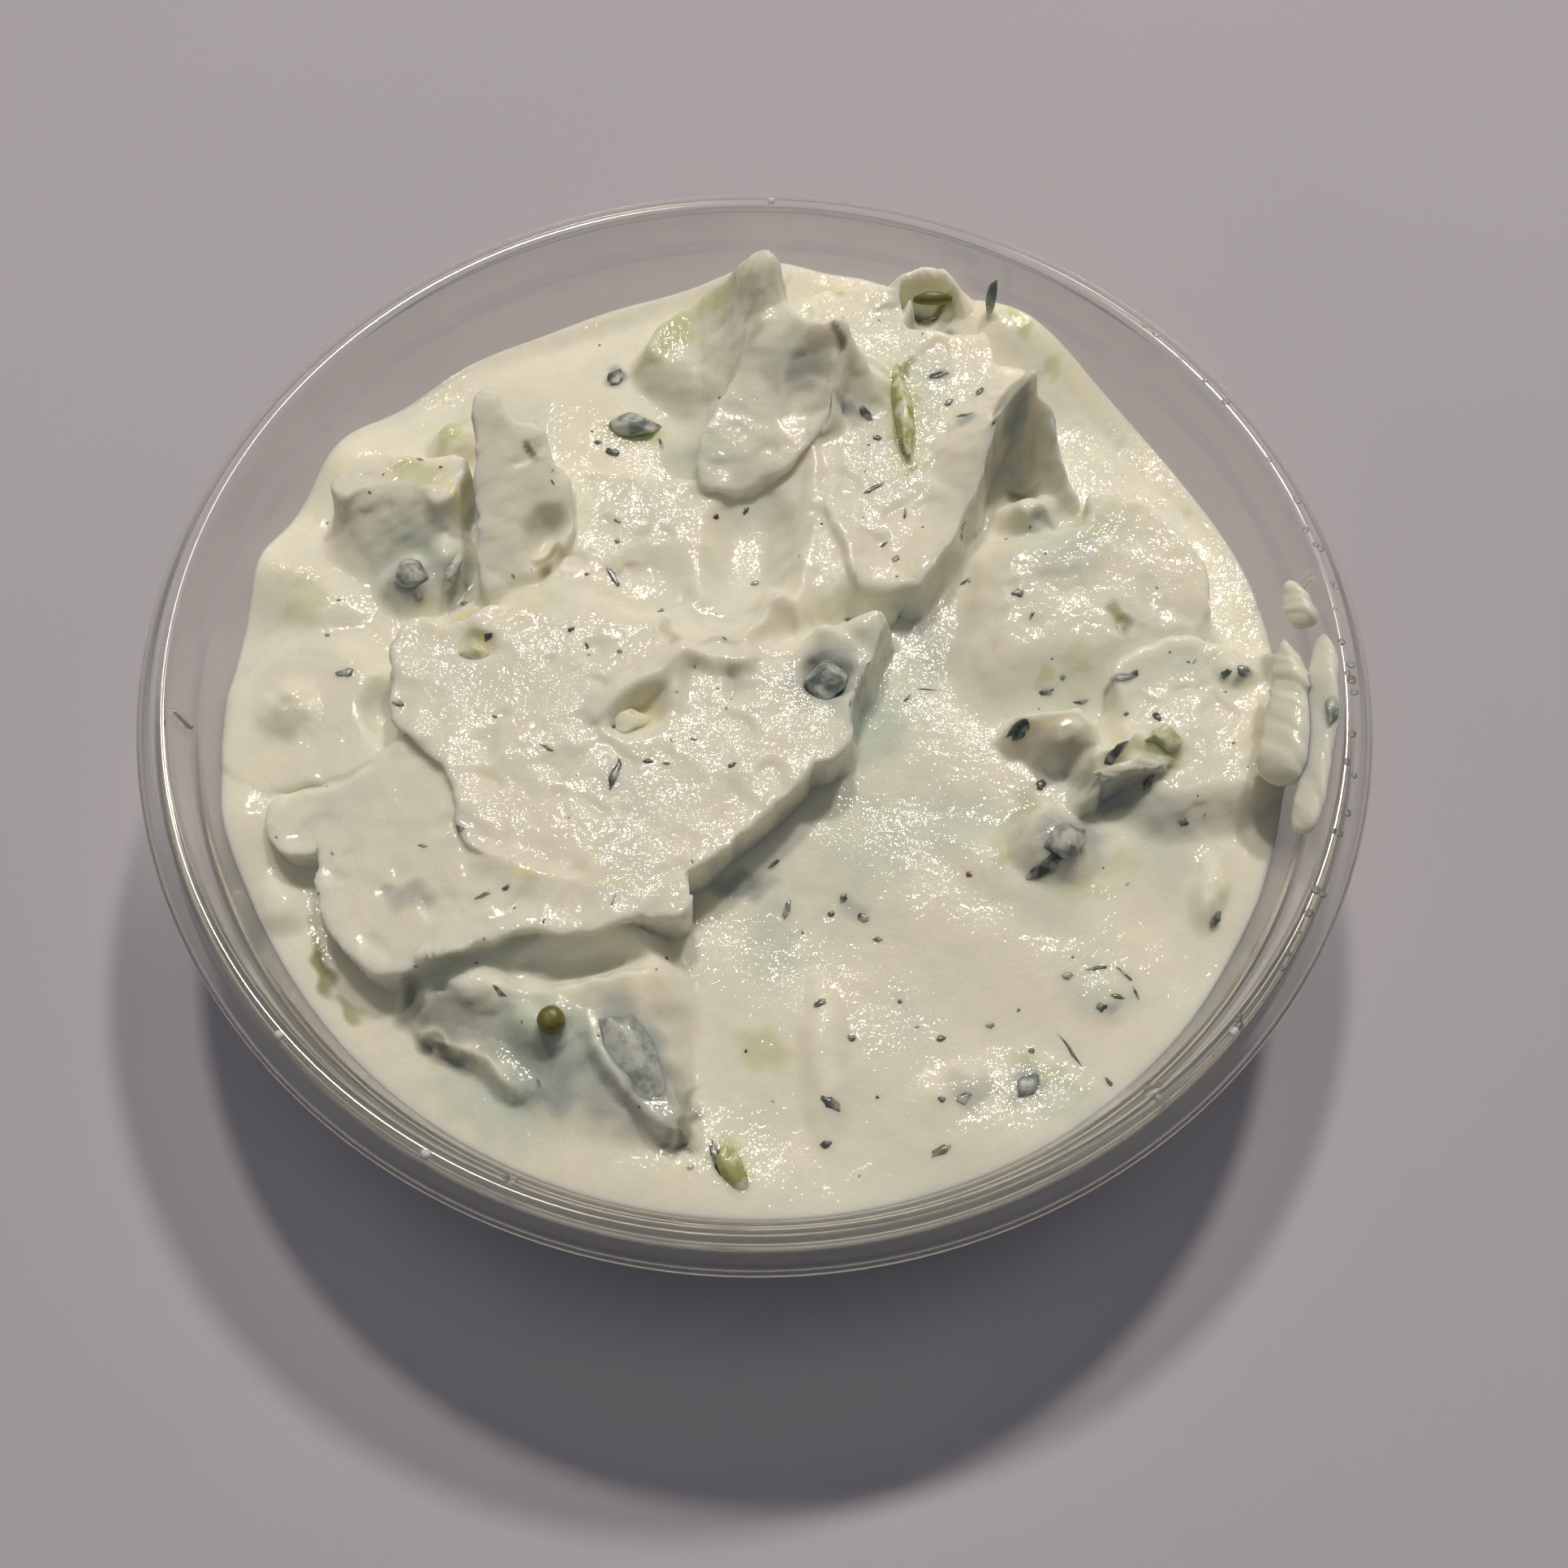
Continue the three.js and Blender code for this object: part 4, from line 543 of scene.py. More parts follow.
def dip_surface(x, y):
    """Height of the dip over each place and where the place moves to, so that edges overhang."""
    z = pool_height(x, y)
    # Edges are found in places moved by small waves, so that none runs clean.
    wave_x = x + 0.16 * np.sin(0.9 * y + 0.5 * x) + 0.05 * np.sin(2.3 * y - 1.1 * x + 1)
    wave_y = y + 0.16 * np.sin(0.8 * x - 0.4 * y + 2) + 0.05 * np.sin(2.1 * x + 1.3 * y)
    shift_x, shift_y = np.zeros(x.shape), np.zeros(x.shape)
    for layer in LAYERS.values():
        z, push_x, push_y = lay(layer, x, y, wave_x, wave_y, z)
        shift_x, shift_y = shift_x + push_x, shift_y + push_y
    for spot in LUMPS:
        far = np.minimum(oval(wave_x, wave_y, spot), 1)
        z = np.maximum(z, z + (spot[5] - z) * step(1, LUMP_FLAT, far))
    for spot in HOLLOWS:
        far = np.minimum(oval(wave_x, wave_y, spot), 1)
        z = np.minimum(z, spot[5] + (z - spot[5]) * step(0, 1, far ** HOLLOW_POWER))
    for crest in CRESTS:
        z, push_x, push_y = pull(crest, wave_x, wave_y, z)
        shift_x, shift_y = shift_x + push_x, shift_y + push_y
    radius = np.hypot(x, y)
    free = step(SHIFT_GONE, SHIFT_WHOLE, radius)
    rough = 0.5 + 0.5 * step(GRAIN_FROM, GRAIN_TO, z - POOL)
    sideways = SIDEWAYS * rough * free
    shift_x = shift_x + sideways * lattice_noise(x + z, y - 1.6 * z, 1.5, 14)
    shift_y = shift_y + sideways * lattice_noise(x - 1.3 * z, y + z, 1.3, 15)
    z = z + torn_grain(x, y, z) * rough * step(GRAIN_GONE, GRAIN_WHOLE, radius)
    return x + shift_x * free, y + shift_y * free, z


# A square grid drawn to a disc, its border led down inside the wall by way of a ring at half height, and
# round the corner to the floor
MID_WALL = 12
steps_across = np.linspace(-1, 1, CELLS + 1)
u, v = np.meshgrid(steps_across, steps_across)
disc_x, disc_y = u * np.sqrt(1 - v * v / 2) * SEAT_RADIUS, v * np.sqrt(1 - u * u / 2) * SEAT_RADIUS
top_x, top_y, top_z = dip_surface(disc_x, disc_y)
at_wall = step(EDGE_ZONE, SEAT_RADIUS, np.hypot(disc_x, disc_y))
drawn = 1 + ((inside_radius(top_z) + INTO_WALL) / SEAT_RADIUS - 1) * at_wall
dip_points = np.stack([top_x * drawn, top_y * drawn, top_z], -1).reshape(-1, 3)
dip_faces = grid_faces(CELLS + 1, CELLS + 1, False)
numbers = np.arange((CELLS + 1) ** 2).reshape(CELLS + 1, CELLS + 1)
border = np.concatenate([numbers[0, :-1], numbers[:-1, -1], numbers[-1, :0:-1], numbers[:0:-1, 0]])
border_angle = np.arctan2(dip_points[border, 1], dip_points[border, 0])
below = [(float(inside_radius(MID_WALL)) + INTO_WALL, MID_WALL),
         *corner_points(INTO_WALL, np.arange(0, -91, -10))]
rings = turned(np.array(below), border_angle)
first = len(dip_points)
dip_points = np.concatenate([dip_points, *rings, [[0, 0, below[-1][1]]]])
loops = [border] + [first + k * border.size + np.arange(border.size) for k in range(len(rings))]
sides = [np.stack([a, np.roll(a, -1), np.roll(b, -1), b], -1)[:, ::-1] for a, b in zip(loops, loops[1:])]
base = np.stack([loops[-1], np.full(border.size, len(dip_points) - 1), np.roll(loops[-1], -1)], -1)
all_faces = dip_faces.tolist() + np.concatenate(sides).tolist() + base.tolist()

# Patches where cucumber shows through the dip, and patches of painted shade: middle, half sizes, turn,
# colour and strength. The deep, olive, blue and juice colours are cucumber colours, and they also paint
# shade in the scoop under the fin and on the lump under the lip. A patch goes over the earlier ones by
# the share of their strength, has a soft edge and stays above mid wall.
PATCH_WHOLE, PATCH_GONE = 0.45, 1.25
JUICE_AND_SHADE, GREEN, OLIVE_RIND_AND_SHADE, BLUE_FILM_AND_SHADE, CREAM, DEEP_PEEL_AND_SHADE = (
    linear(code) for code in ("#ced8cb", "#cdd3a4", "#8f8b55", "#9ba4a3", "#f2ecbe", "#7c8478"))
PATCHES = [
    (-11, 43, 2.4, 3.6, -30, GREEN, 0.8), (-12.6, 40.4, 3, 1.2, 20, GREEN, 0.6),
    (-6, 46, 3.4, 2, 10, GREEN, 0.7), (-36.6, 21.4, 3.6, 1.8, -15, GREEN, 0.7),
    (-34, 29.6, 1.6, 3.4, -20, GREEN, 0.8), (-33, 19.8, 1.6, 0.8, -40, CREAM, 0.9),
    (-41, 12.4, 4.6, 1.6, -20, OLIVE_RIND_AND_SHADE, 0.15), (-24.5, 22.6, 0.6, 1.3, 15, OLIVE_RIND_AND_SHADE, 1),
    # The olive patch at (-22.2, 12.6) is painted shade in the scoop under the fin.
    (-22.2, 12.6, 1, 2.4, -25, OLIVE_RIND_AND_SHADE, 0.7), (-29.4, 29.4, 0.8, 1.4, 20, BLUE_FILM_AND_SHADE, 0.9),
    (-30.2, 5, 1.1, 2.4, -28, CREAM, 1), (-28, 0.6, 1.8, 1.3, 20, CREAM, 0.9),
    (-23, 7, 3, 2.4, 0, GREEN, 0.3), (-46.6, 7.6, 2.4, 3, 0, GREEN, 0.45),
    (-46, -6.4, 2, 2.6, 0, OLIVE_RIND_AND_SHADE, 0.25), (-39, -31.6, 0.9, 3.4, 25, OLIVE_RIND_AND_SHADE, 0.8),
    (-36, -35.4, 2.2, 0.7, -35, OLIVE_RIND_AND_SHADE, 0.6), (-31, -25.6, 2.6, 1.6, 10, BLUE_FILM_AND_SHADE, 0.5),
    # The deep and blue patches on the lump under the lip, from here to (-30, -35.2), are painted shade over
    # its coated cucumber and peel edge.
    (-25.6, -36.8, 5, 2.2, -28, DEEP_PEEL_AND_SHADE, 0.75), (-26.6, -39.2, 4, 0.9, -28, DEEP_PEEL_AND_SHADE, 0.9),
    (-17.6, -41.4, 4.6, 3.6, -20, BLUE_FILM_AND_SHADE, 0.85), (-9, -43, 2.6, 3, 20, BLUE_FILM_AND_SHADE, 0.5),
    (-23, -44.6, 2, 1, 10, GREEN, 0.7), (-21.4, -43.4, 4.2, 0.8, -32, DEEP_PEEL_AND_SHADE, 0.7),
    (-5.4, -44.4, 0.6, 3.4, -28, DEEP_PEEL_AND_SHADE, 0.6), (-30, -35.2, 1.4, 2.4, -20, DEEP_PEEL_AND_SHADE, 0.8),
    (-0.6, -21.6, 3.4, 1.6, 0, BLUE_FILM_AND_SHADE, 0.7), (2, -37.6, 2.8, 2, -30, GREEN, 0.6),
    (28, -39.4, 4.6, 1.2, -25, GREEN, 0.75), (24, -16, 1.3, 3.6, 0, GREEN, 0.6),
    (39.6, -7, 2.2, 2.2, 0, GREEN, 0.9), (36.4, 8, 1.1, 2, 20, OLIVE_RIND_AND_SHADE, 0.7),
    (28.7, 1.6, 1, 1.2, 0, GREEN, 0.6), (32, 3.4, 1.6, 2.4, 0, GREEN, 0.3),
    (34, 18.6, 3.2, 1.4, -15, GREEN, 0.4), (14.6, 38, 0.8, 1.8, -10, OLIVE_RIND_AND_SHADE, 0.9),
    (15.4, 32.6, 0.7, 2.6, -5, OLIVE_RIND_AND_SHADE, 0.9), (13.6, 31, 1, 3.6, -8, GREEN, 0.8),
    (15, 25, 0.6, 1.3, 0, OLIVE_RIND_AND_SHADE, 0.9), (12, -4, 3.4, 6, -20, JUICE_AND_SHADE, 0.9),
    (15, 3, 5, 8, -15, JUICE_AND_SHADE, 0.6), (11, -15, 6, 7, 0, JUICE_AND_SHADE, 0.5),
    (26.4, -13.4, 1.3, 4.4, -12, OLIVE_RIND_AND_SHADE, 0.35), (35, -18, 4, 1.2, 10, GREEN, 0.4),
    (20, -14, 5, 4, 0, JUICE_AND_SHADE, 0.6), (2, -27, 3, 5, 0, JUICE_AND_SHADE, 0.6), (30, 16, 6, 4, 0, JUICE_AND_SHADE, 0.5),
    (-22, -44, 7, 3, -28, JUICE_AND_SHADE, 0.7), (16, 33, 2.6, 9, -8, JUICE_AND_SHADE, 0.5), (-36, 12, 6, 5, 0, JUICE_AND_SHADE, 0.6),
    (-8, 26, 6, 4, 0, JUICE_AND_SHADE, 0.4), (33, -31, 4, 3, 0, JUICE_AND_SHADE, 0.5), (28, -41, 6, 2.6, -25, JUICE_AND_SHADE, 0.5),
    (40, -16, 3, 5, 0, JUICE_AND_SHADE, 0.4), (6.4, 48.6, 1.2, 1, -50, GREEN, 0.9),
    (27, 45.8, 0.9, 3.4, 25, GREEN, 0.8), (31, 40.6, 1, 1.6, 0, GREEN, 0.6),
    (17.4, 44.8, 2.8, 1.4, 0, BLUE_FILM_AND_SHADE, 0.55), (17.2, 47.4, 2.6, 0.7, 5, OLIVE_RIND_AND_SHADE, 1),
    (18.2, 37.2, 1.3, 1, 0, BLUE_FILM_AND_SHADE, 0.7), (20.6, 30.8, 1.4, 0.9, 30, BLUE_FILM_AND_SHADE, 0.6),
    (8.2, 31.6, 1.6, 0.8, -30, BLUE_FILM_AND_SHADE, 0.6), (29, 20.2, 1.6, 0.9, 0, BLUE_FILM_AND_SHADE, 0.6),
    (27, 24.2, 1.8, 1, -20, OLIVE_RIND_AND_SHADE, 0.8), (30, 29, 0.7, 2.4, 0, BLUE_FILM_AND_SHADE, 0.6),
    (5.2, 40, 1.6, 1.4, 0, BLUE_FILM_AND_SHADE, 0.5), (-2, 41, 1, 3.6, 0, OLIVE_RIND_AND_SHADE, 0.35),
    (18.4, 7, 3.2, 5.6, -10, BLUE_FILM_AND_SHADE, 0.3), (48.2, 1.5, 0.9, 0.8, 0, BLUE_FILM_AND_SHADE, 0.8),
    (46.4, 1.4, 0.7, 0.6, 0, BLUE_FILM_AND_SHADE, 0.6), (36.4, 1, 1.6, 0.7, 30, BLUE_FILM_AND_SHADE, 0.8),
    (-11.4, -6, 3, 1.8, 35, CREAM, 0.8), (-9, 3.4, 0.7, 2.6, 25, OLIVE_RIND_AND_SHADE, 0.35),
    (-4, 2.2, 2.4, 0.5, 0, OLIVE_RIND_AND_SHADE, 0.3), (-14, 12.4, 1.6, 0.6, 40, OLIVE_RIND_AND_SHADE, 0.3),
    (-17.5, 39, 1.2, 2, 10, BLUE_FILM_AND_SHADE, 0.8), (-15, 31.2, 3.6, 2.2, 0, GREEN, 0.9),
    (-35.4, 9.2, 2, 1.6, 0, BLUE_FILM_AND_SHADE, 0.7), (-33, 15.8, 1.8, 0.7, 0, BLUE_FILM_AND_SHADE, 0.5),
    (30, -6.6, 2.6, 2, 0, OLIVE_RIND_AND_SHADE, 0.35), (35, -11.8, 2, 1, 10, OLIVE_RIND_AND_SHADE, 0.6),
    (30, -15.6, 4.2, 3.2, 0, BLUE_FILM_AND_SHADE, 0.75), (33.6, -32.4, 0.8, 0.8, 0, BLUE_FILM_AND_SHADE, 0.6),
    (20.6, -40.8, 3, 2, 0, BLUE_FILM_AND_SHADE, 0.4), (44.2, -21, 0.5, 2.8, -10, GREEN, 0.4),
    (9.8, -23.6, 1.6, 1.2, 0, BLUE_FILM_AND_SHADE, 0.4), (-21, -23.4, 1.6, 0.7, -10, CREAM, 0.6),
    (-13, -24, 1.6, 0.6, 10, CREAM, 0.5), (31.6, -21, 3.4, 1.4, 10, GREEN, 0.4),
    (-36, 10.2, 3.4, 2.6, 10, BLUE_FILM_AND_SHADE, 0.75), (-31.8, 10.8, 2.8, 1.6, 74, BLUE_FILM_AND_SHADE, 0.6),
    (6.8, -1.6, 4.4, 3.8, 30, BLUE_FILM_AND_SHADE, 0.6), (-9.2, -39.8, 7.6, 3.4, -58, BLUE_FILM_AND_SHADE, 0.75),
    # Painted shade on the lump under the lip: the juice patch at (-17, -38.4), the blue at (-14, -42) and
    # the deep at (-21, -38.4).
    (-4.5, -45.4, 0.9, 2.4, -20, DEEP_PEEL_AND_SHADE, 0.8), (-17, -38.4, 9, 4.6, -15, JUICE_AND_SHADE, 0.9),
    (-14, -42, 6, 2.6, -20, BLUE_FILM_AND_SHADE, 0.5), (36, -10.6, 4.6, 2.2, 14, BLUE_FILM_AND_SHADE, 0.5),
    (-21, -38.4, 7, 2.2, -24, DEEP_PEEL_AND_SHADE, 0.45), (2.6, 35, 3.2, 4.4, -20, BLUE_FILM_AND_SHADE, 0.25),
    (6.9, 37, 0.6, 1.4, 20, DEEP_PEEL_AND_SHADE, 0.7), (25.2, 30.4, 1.8, 2.4, 30, BLUE_FILM_AND_SHADE, 0.6),
    (-0.6, -48.2, 3.2, 1.7, -62, GREEN, 0.7), (25.8, -40.2, 2.6, 1.5, 55, BLUE_FILM_AND_SHADE, 0.6),
    (14.2, 31.4, 7.4, 2.2, -84, GREEN, 0.7),
]
tint, tint_share = np.ones((len(dip_points), 4)), np.zeros(len(dip_points))
bent_x = dip_points[:, 0] + 0.35 * np.sin(2.2 * dip_points[:, 1])
bent_y = dip_points[:, 1] + 0.35 * np.sin(1.9 * dip_points[:, 0])
for patch in PATCHES:
    weight = patch[6] * step(PATCH_GONE, PATCH_WHOLE, oval(bent_x, bent_y, patch))
    weight = weight * (dip_points[:, 2] > MID_WALL)
    tint += (patch[5] - tint) * np.clip(weight / np.maximum(tint_share, 1e-3), 0, 1)[:, None]
    tint_share = np.maximum(tint_share, weight)

yogurt, yogurt_shader, place = new_material("Strained yogurt with cucumber juice")
# Strained yogurt: ivory, dense but softly translucent so that its shadows glow a little, and wet, so
# that its fine curds throw many small sharp sparkles. Cucumber under the skin tints it in patches, and
# some patches are painted shade in the scoop under the fin and on the lump under the lip.
mottle = node(yogurt, "ShaderNodeTexNoise", {"Vector": place, "Scale": 110, "Detail": 5, "Roughness": 0.6})
juice = node(yogurt, "ShaderNodeMapRange", {
    "Value": mottle.outputs["Fac"], "From Min": 0.3, "From Max": 0.76})
cream = node(yogurt, "ShaderNodeMix", {
    0: juice.outputs["Result"], 6: linear("#f5f0dd"), 7: linear("#e2e7da")}, data_type="RGBA")
patch_tint_and_shade = node(yogurt, "ShaderNodeAttribute", attribute_name="tint")
amount = node(yogurt, "ShaderNodeAttribute", attribute_name="tint_share")
ragged = node(yogurt, "ShaderNodeTexNoise", {"Vector": place, "Scale": 420, "Detail": 3})
spread = node(yogurt, "ShaderNodeMapRange", {
    "Value": ragged.outputs["Fac"], "To Min": 0.75, "To Max": 1.25})
strength = node(yogurt, "ShaderNodeMath", {
    0: amount.outputs["Fac"], 1: spread.outputs["Result"]}, operation="MULTIPLY", use_clamp=True)
# The patch tint mixed in here is cucumber colour and, in places, painted shade.
patched = node(yogurt, "ShaderNodeMix", {
    0: strength.outputs["Value"], 6: cream.outputs[2], 7: patch_tint_and_shade.outputs["Color"]}, data_type="RGBA")
curds = node(yogurt, "ShaderNodeTexNoise", {"Vector": place, "Scale": 2400, "Detail": 3, "Roughness": 0.6})
folds = node(yogurt, "ShaderNodeTexNoise", {"Vector": place, "Scale": 700, "Detail": 2})
relief = node(yogurt, "ShaderNodeMath", {
    0: curds.outputs["Fac"], 1: folds.outputs["Fac"]}, operation="ADD")
wet = node(yogurt, "ShaderNodeBump", {
    "Height": relief.outputs["Value"], "Strength": 0.3, "Distance": 0.0002})
beads = node(yogurt, "ShaderNodeTexNoise", {"Vector": place, "Scale": 1500, "Detail": 2})
sparkle = node(yogurt, "ShaderNodeBump", {
    "Height": beads.outputs["Fac"], "Strength": 1, "Distance": 0.0001})
wet_places = node(yogurt, "ShaderNodeTexNoise", {
    "Vector": place, "Scale": 260, "Detail": 3, "Roughness": 0.6})
wetness = node(yogurt, "ShaderNodeMapRange", {
    "Value": wet_places.outputs["Fac"], "From Min": 0.42, "From Max": 0.62, "To Min": 0.1, "To Max": 0.9})
set_sockets(yogurt, yogurt_shader, {
    "Base Color": patched.outputs[2],
    "Normal": wet.outputs["Normal"],
    "Roughness": 0.48,
    "Specular IOR Level": 0.2,
    "Subsurface Weight": 0.85,
    "Subsurface Radius": (1.0, 0.85, 0.6),
    "Subsurface Scale": 0.0024,
    "Coat Weight": wetness.outputs["Result"],
    "Coat Roughness": 0.06,
    "Coat Normal": sparkle.outputs["Normal"],
})
dip = mesh_object("dip_surface", dip_points, all_faces, yogurt)
dip.data.attributes.new("tint", "FLOAT_COLOR", "POINT").data.foreach_set("color", tint.ravel())
dip.data.attributes.new("tint_share", "FLOAT", "POINT").data.foreach_set("value", tint_share)
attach(dip, "root")
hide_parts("dip")

# Cucumber and seed: bowed lozenges a little knobbly from the knife, each lying in the dip with a film of
# yogurt over part of it. Peel is dark green, flesh pale and clear, and one whole seed is olive. Each has
# its kind, middle, sizes, its turns about z, x and y in degrees, and how far it's bowed.
PIECES = [
    ("cucumber_chunk_middle", "peel", (6.8, -1.6, 20.9), (4.8, 4.4, 3.6), (30, 30, 0), 0.3),
    ("cucumber_leaf_front", "blade", (-9.2, -39.8, 19.2), (12.8, 4.6, 1.7), (-58, -8, 6), 1),
    ("cucumber_peel_right", "peel", (29.6, -17.2, 19.3), (5, 3.4, 1.8), (28, 16, 0), 0.7),
    ("cucumber_fold_right", "coated", (36, -9.7, 20.4), (7, 1.9, 1.8), (14, 12, 0), 0.4),
    ("cucumber_green_right", "flesh", (39.9, -6.2, 20), (3.8, 3, 2.4), (0, 16, 10), 0.3),
    ("cucumber_strip_back", "rind", (14.2, 31.4, 21.2), (13.6, 2.3, 1.8), (-84, 20, 0), 0.6),
    ("peel_sliver_back", "peel", (23.8, 47, 22), (5.4, 1.2, 0.9), (80, 0, -78), 0.3),
    ("peel_triangle_front", "rind", (-0.4, -48.6, 16.9), (5.2, 2.2, 1.6), (-62, 16, 0), 0.4),
    ("seed_front", "olive", (-16.9, -36.9, 20.4), (2.5, 2.5, 2.5), (0, 0, 0), 0),
    ("cucumber_arc_back", "peel", (-14.8, 31.6, 17.3), (5.6, 2.6, 1.8), (4, 20, 0), 1),
    ("cucumber_chunk_left", "peel", (-36, 10.2, 19), (4, 3, 2.2), (10, 20, 0), 0.4),
    ("cucumber_blade_left", "peel", (-31.8, 10.8, 19), (4.6, 1.6, 1.5), (74, 10, 0), 0.2),
    ("cucumber_crater", "pale", (-12.6, -6.6, 19.9), (4.8, 3, 2), (30, 8, 0), 0.3),
    ("cucumber_flap_back", "olive", (17.4, 46.8, 22), (4.4, 1.4, 1.4), (4, 20, 0), 0.4),
    ("peel_wedge_right", "peel", (25.8, -40.2, 16.5), (3.8, 1.9, 1.5), (55, 10, 0), 0.2),
    ("cucumber_oval_left", "pale", (-28, 0.2, 20.5), (3.2, 2.2, 1.6), (20, 8, 0), 0.2),
]
PIECE_AROUND, PIECE_ALONG = 40, 24
# Under 1 squares a piece off, and each knife cut planes it at a share of its half size
SQUARENESS, KNIFE_CUTS, CUT_AT = 0.78, 11, (0.7, 0.86)
END_TAPER, OLIVE_KNOB = 0.35, 0.3


def closed_ball(around, along):
    """Points and faces of a unit ball as rings between two poles, faces outward."""
    turn = np.linspace(0, 2 * np.pi, around, endpoint=False)
    rise = np.linspace(-np.pi / 2, np.pi / 2, along + 2)[1:-1, None]
    rings = np.stack([np.cos(rise) * np.cos(turn), np.cos(rise) * np.sin(turn), np.sin(rise) + 0 * turn], 2)
    return np.concatenate([rings.reshape(-1, 3), [[0, 0, -1], [0, 0, 1]]]), capped_faces(along, around)


def film_material(name, deep, pale, film, film_share, clear):
    """A moist material: deep to pale in fine mottles, with ragged patches of yogurt film over it."""
    material, shader, place = new_material(name)
    mottle = node(material, "ShaderNodeTexNoise", {"Vector": place, "Scale": 700, "Detail": 4})
    own = node(material, "ShaderNodeMix", {
        0: mottle.outputs["Fac"], 6: linear(deep), 7: linear(pale)}, data_type="RGBA")
    patch = node(material, "ShaderNodeTexNoise", {
        "Vector": place, "Scale": 520, "Detail": 4, "Roughness": 0.6})
    cover = node(material, "ShaderNodeMapRange", {
        "Value": patch.outputs["Fac"],
        "From Min": 0.62 - film_share * 0.4, "From Max": 0.78 - film_share * 0.4})
    rim = node(material, "ShaderNodeAttribute", attribute_name="rim")
    bare = node(material, "ShaderNodeMapRange", {"Value": rim.outputs["Fac"], "To Min": 1, "To Max": 0.3})
    film_left = node(material, "ShaderNodeMath", {
        0: cover.outputs["Result"], 1: bare.outputs["Result"]}, operation="MULTIPLY")
    skin = node(material, "ShaderNodeMix", {
        0: film_left.outputs["Value"], 6: own.outputs[2], 7: linear(film)}, data_type="RGBA")
    pores = node(material, "ShaderNodeBump", {
        "Height": mottle.outputs["Fac"], "Strength": 0.35, "Distance": 0.0002})
    set_sockets(material, shader, {
        "Base Color": skin.outputs[2],
        "Normal": pores.outputs["Normal"],
        "Roughness": 0.42,
        "Subsurface Weight": clear,
        "Subsurface Radius": (1.0, 0.9, 0.6),
        "Subsurface Scale": 0.0012,
        "Coat Weight": 0.12,
        "Coat Roughness": 0.1,
    })
    return material


# Waxy dark green peel, dulled to grey green by the yogurt over it; wet flesh; a brined olive seed. For
# each kind: the material's name, its deep and pale colour, the film's, the film's share and how clear
# the kind is
PIECE_KINDS = {
    "peel": ("Cucumber peel under yogurt film", "#52625c", "#8f9c99", "#c9cdc4", 0.55, 0.35),
    "flesh": ("Wet cucumber flesh", "#8f9455", "#c3c995", "#e2e2cc", 0.42, 0.7),
    "pale": ("Pale wet cucumber flesh", "#b3b783", "#d6d8b4", "#e6e5d2", 0.7, 0.7),
    "rind": ("Yellow green cucumber rind", "#8f9444", "#bfc387", "#e4e3cc", 0.4, 0.5),
    "blade": ("Cucumber blade under thin yogurt", "#7c8a83", "#a8b1aa", "#c6cbc2", 0.55, 0.6),
    "coated": ("Cucumber coated with yogurt", "#66736b", "#a9b0a6", "#e0dfd0", 0.85, 0.6),
    "olive": ("Brined olive skin", "#55531d", "#85823a", "#b3ae86", 0.1, 0.2),
}
piece_materials = {kind: film_material(*look) for kind, look in PIECE_KINDS.items()}


def add_piece(name, kind, at, size, turn, bow):
    """One lozenge: a squared ball planed by the knife, knobbled, bowed, turned and set in its place."""
    points, faces = closed_ball(PIECE_AROUND, PIECE_ALONG)
    points = points[:, [2, 0, 1]]
    points = np.sign(points) * np.abs(points) ** SQUARENESS
    knife = np.random.default_rng(int(10 * size[0]))
    for cut in knife.normal(size=(0 if kind == "olive" else KNIFE_CUTS, 3)):
        cut = cut / np.linalg.norm(cut)
        points = points - np.maximum(points @ cut - knife.uniform(*CUT_AT), 0)[:, None] * cut
    x, y, z = points.T
    knob = 0.06 * np.sin(5 * x + 3 * z + size[0]) * np.cos(4 * y + 2 * x)
    knob = knob + 0.03 * np.sin(11 * x + 7 * y + size[1]) * np.cos(9 * z)
    knob = 1 + knob * (OLIVE_KNOB if kind == "olive" else 1)
    local = np.stack([x * size[0] / 2 * knob, y * size[1] / 2 * (1 - END_TAPER * x * x) * knob,
                      z * size[2] / 2 * knob - bow * (x * x - 0.3)], -1)
    z_turn, x_turn, y_turn = (Matrix.Rotation(math.radians(a), 3, axis) for a, axis in zip(turn, "ZXY"))
    placed = local @ np.array(z_turn @ x_turn @ y_turn).T + at
    made = mesh_object(name + "_look", placed, faces, piece_materials[kind])
    made.data.attributes.new("rim", "FLOAT", "POINT").data.foreach_set("value", y ** 4)
    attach(made, "root")
    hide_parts(name)


for piece in PIECES:
    add_piece(*piece)

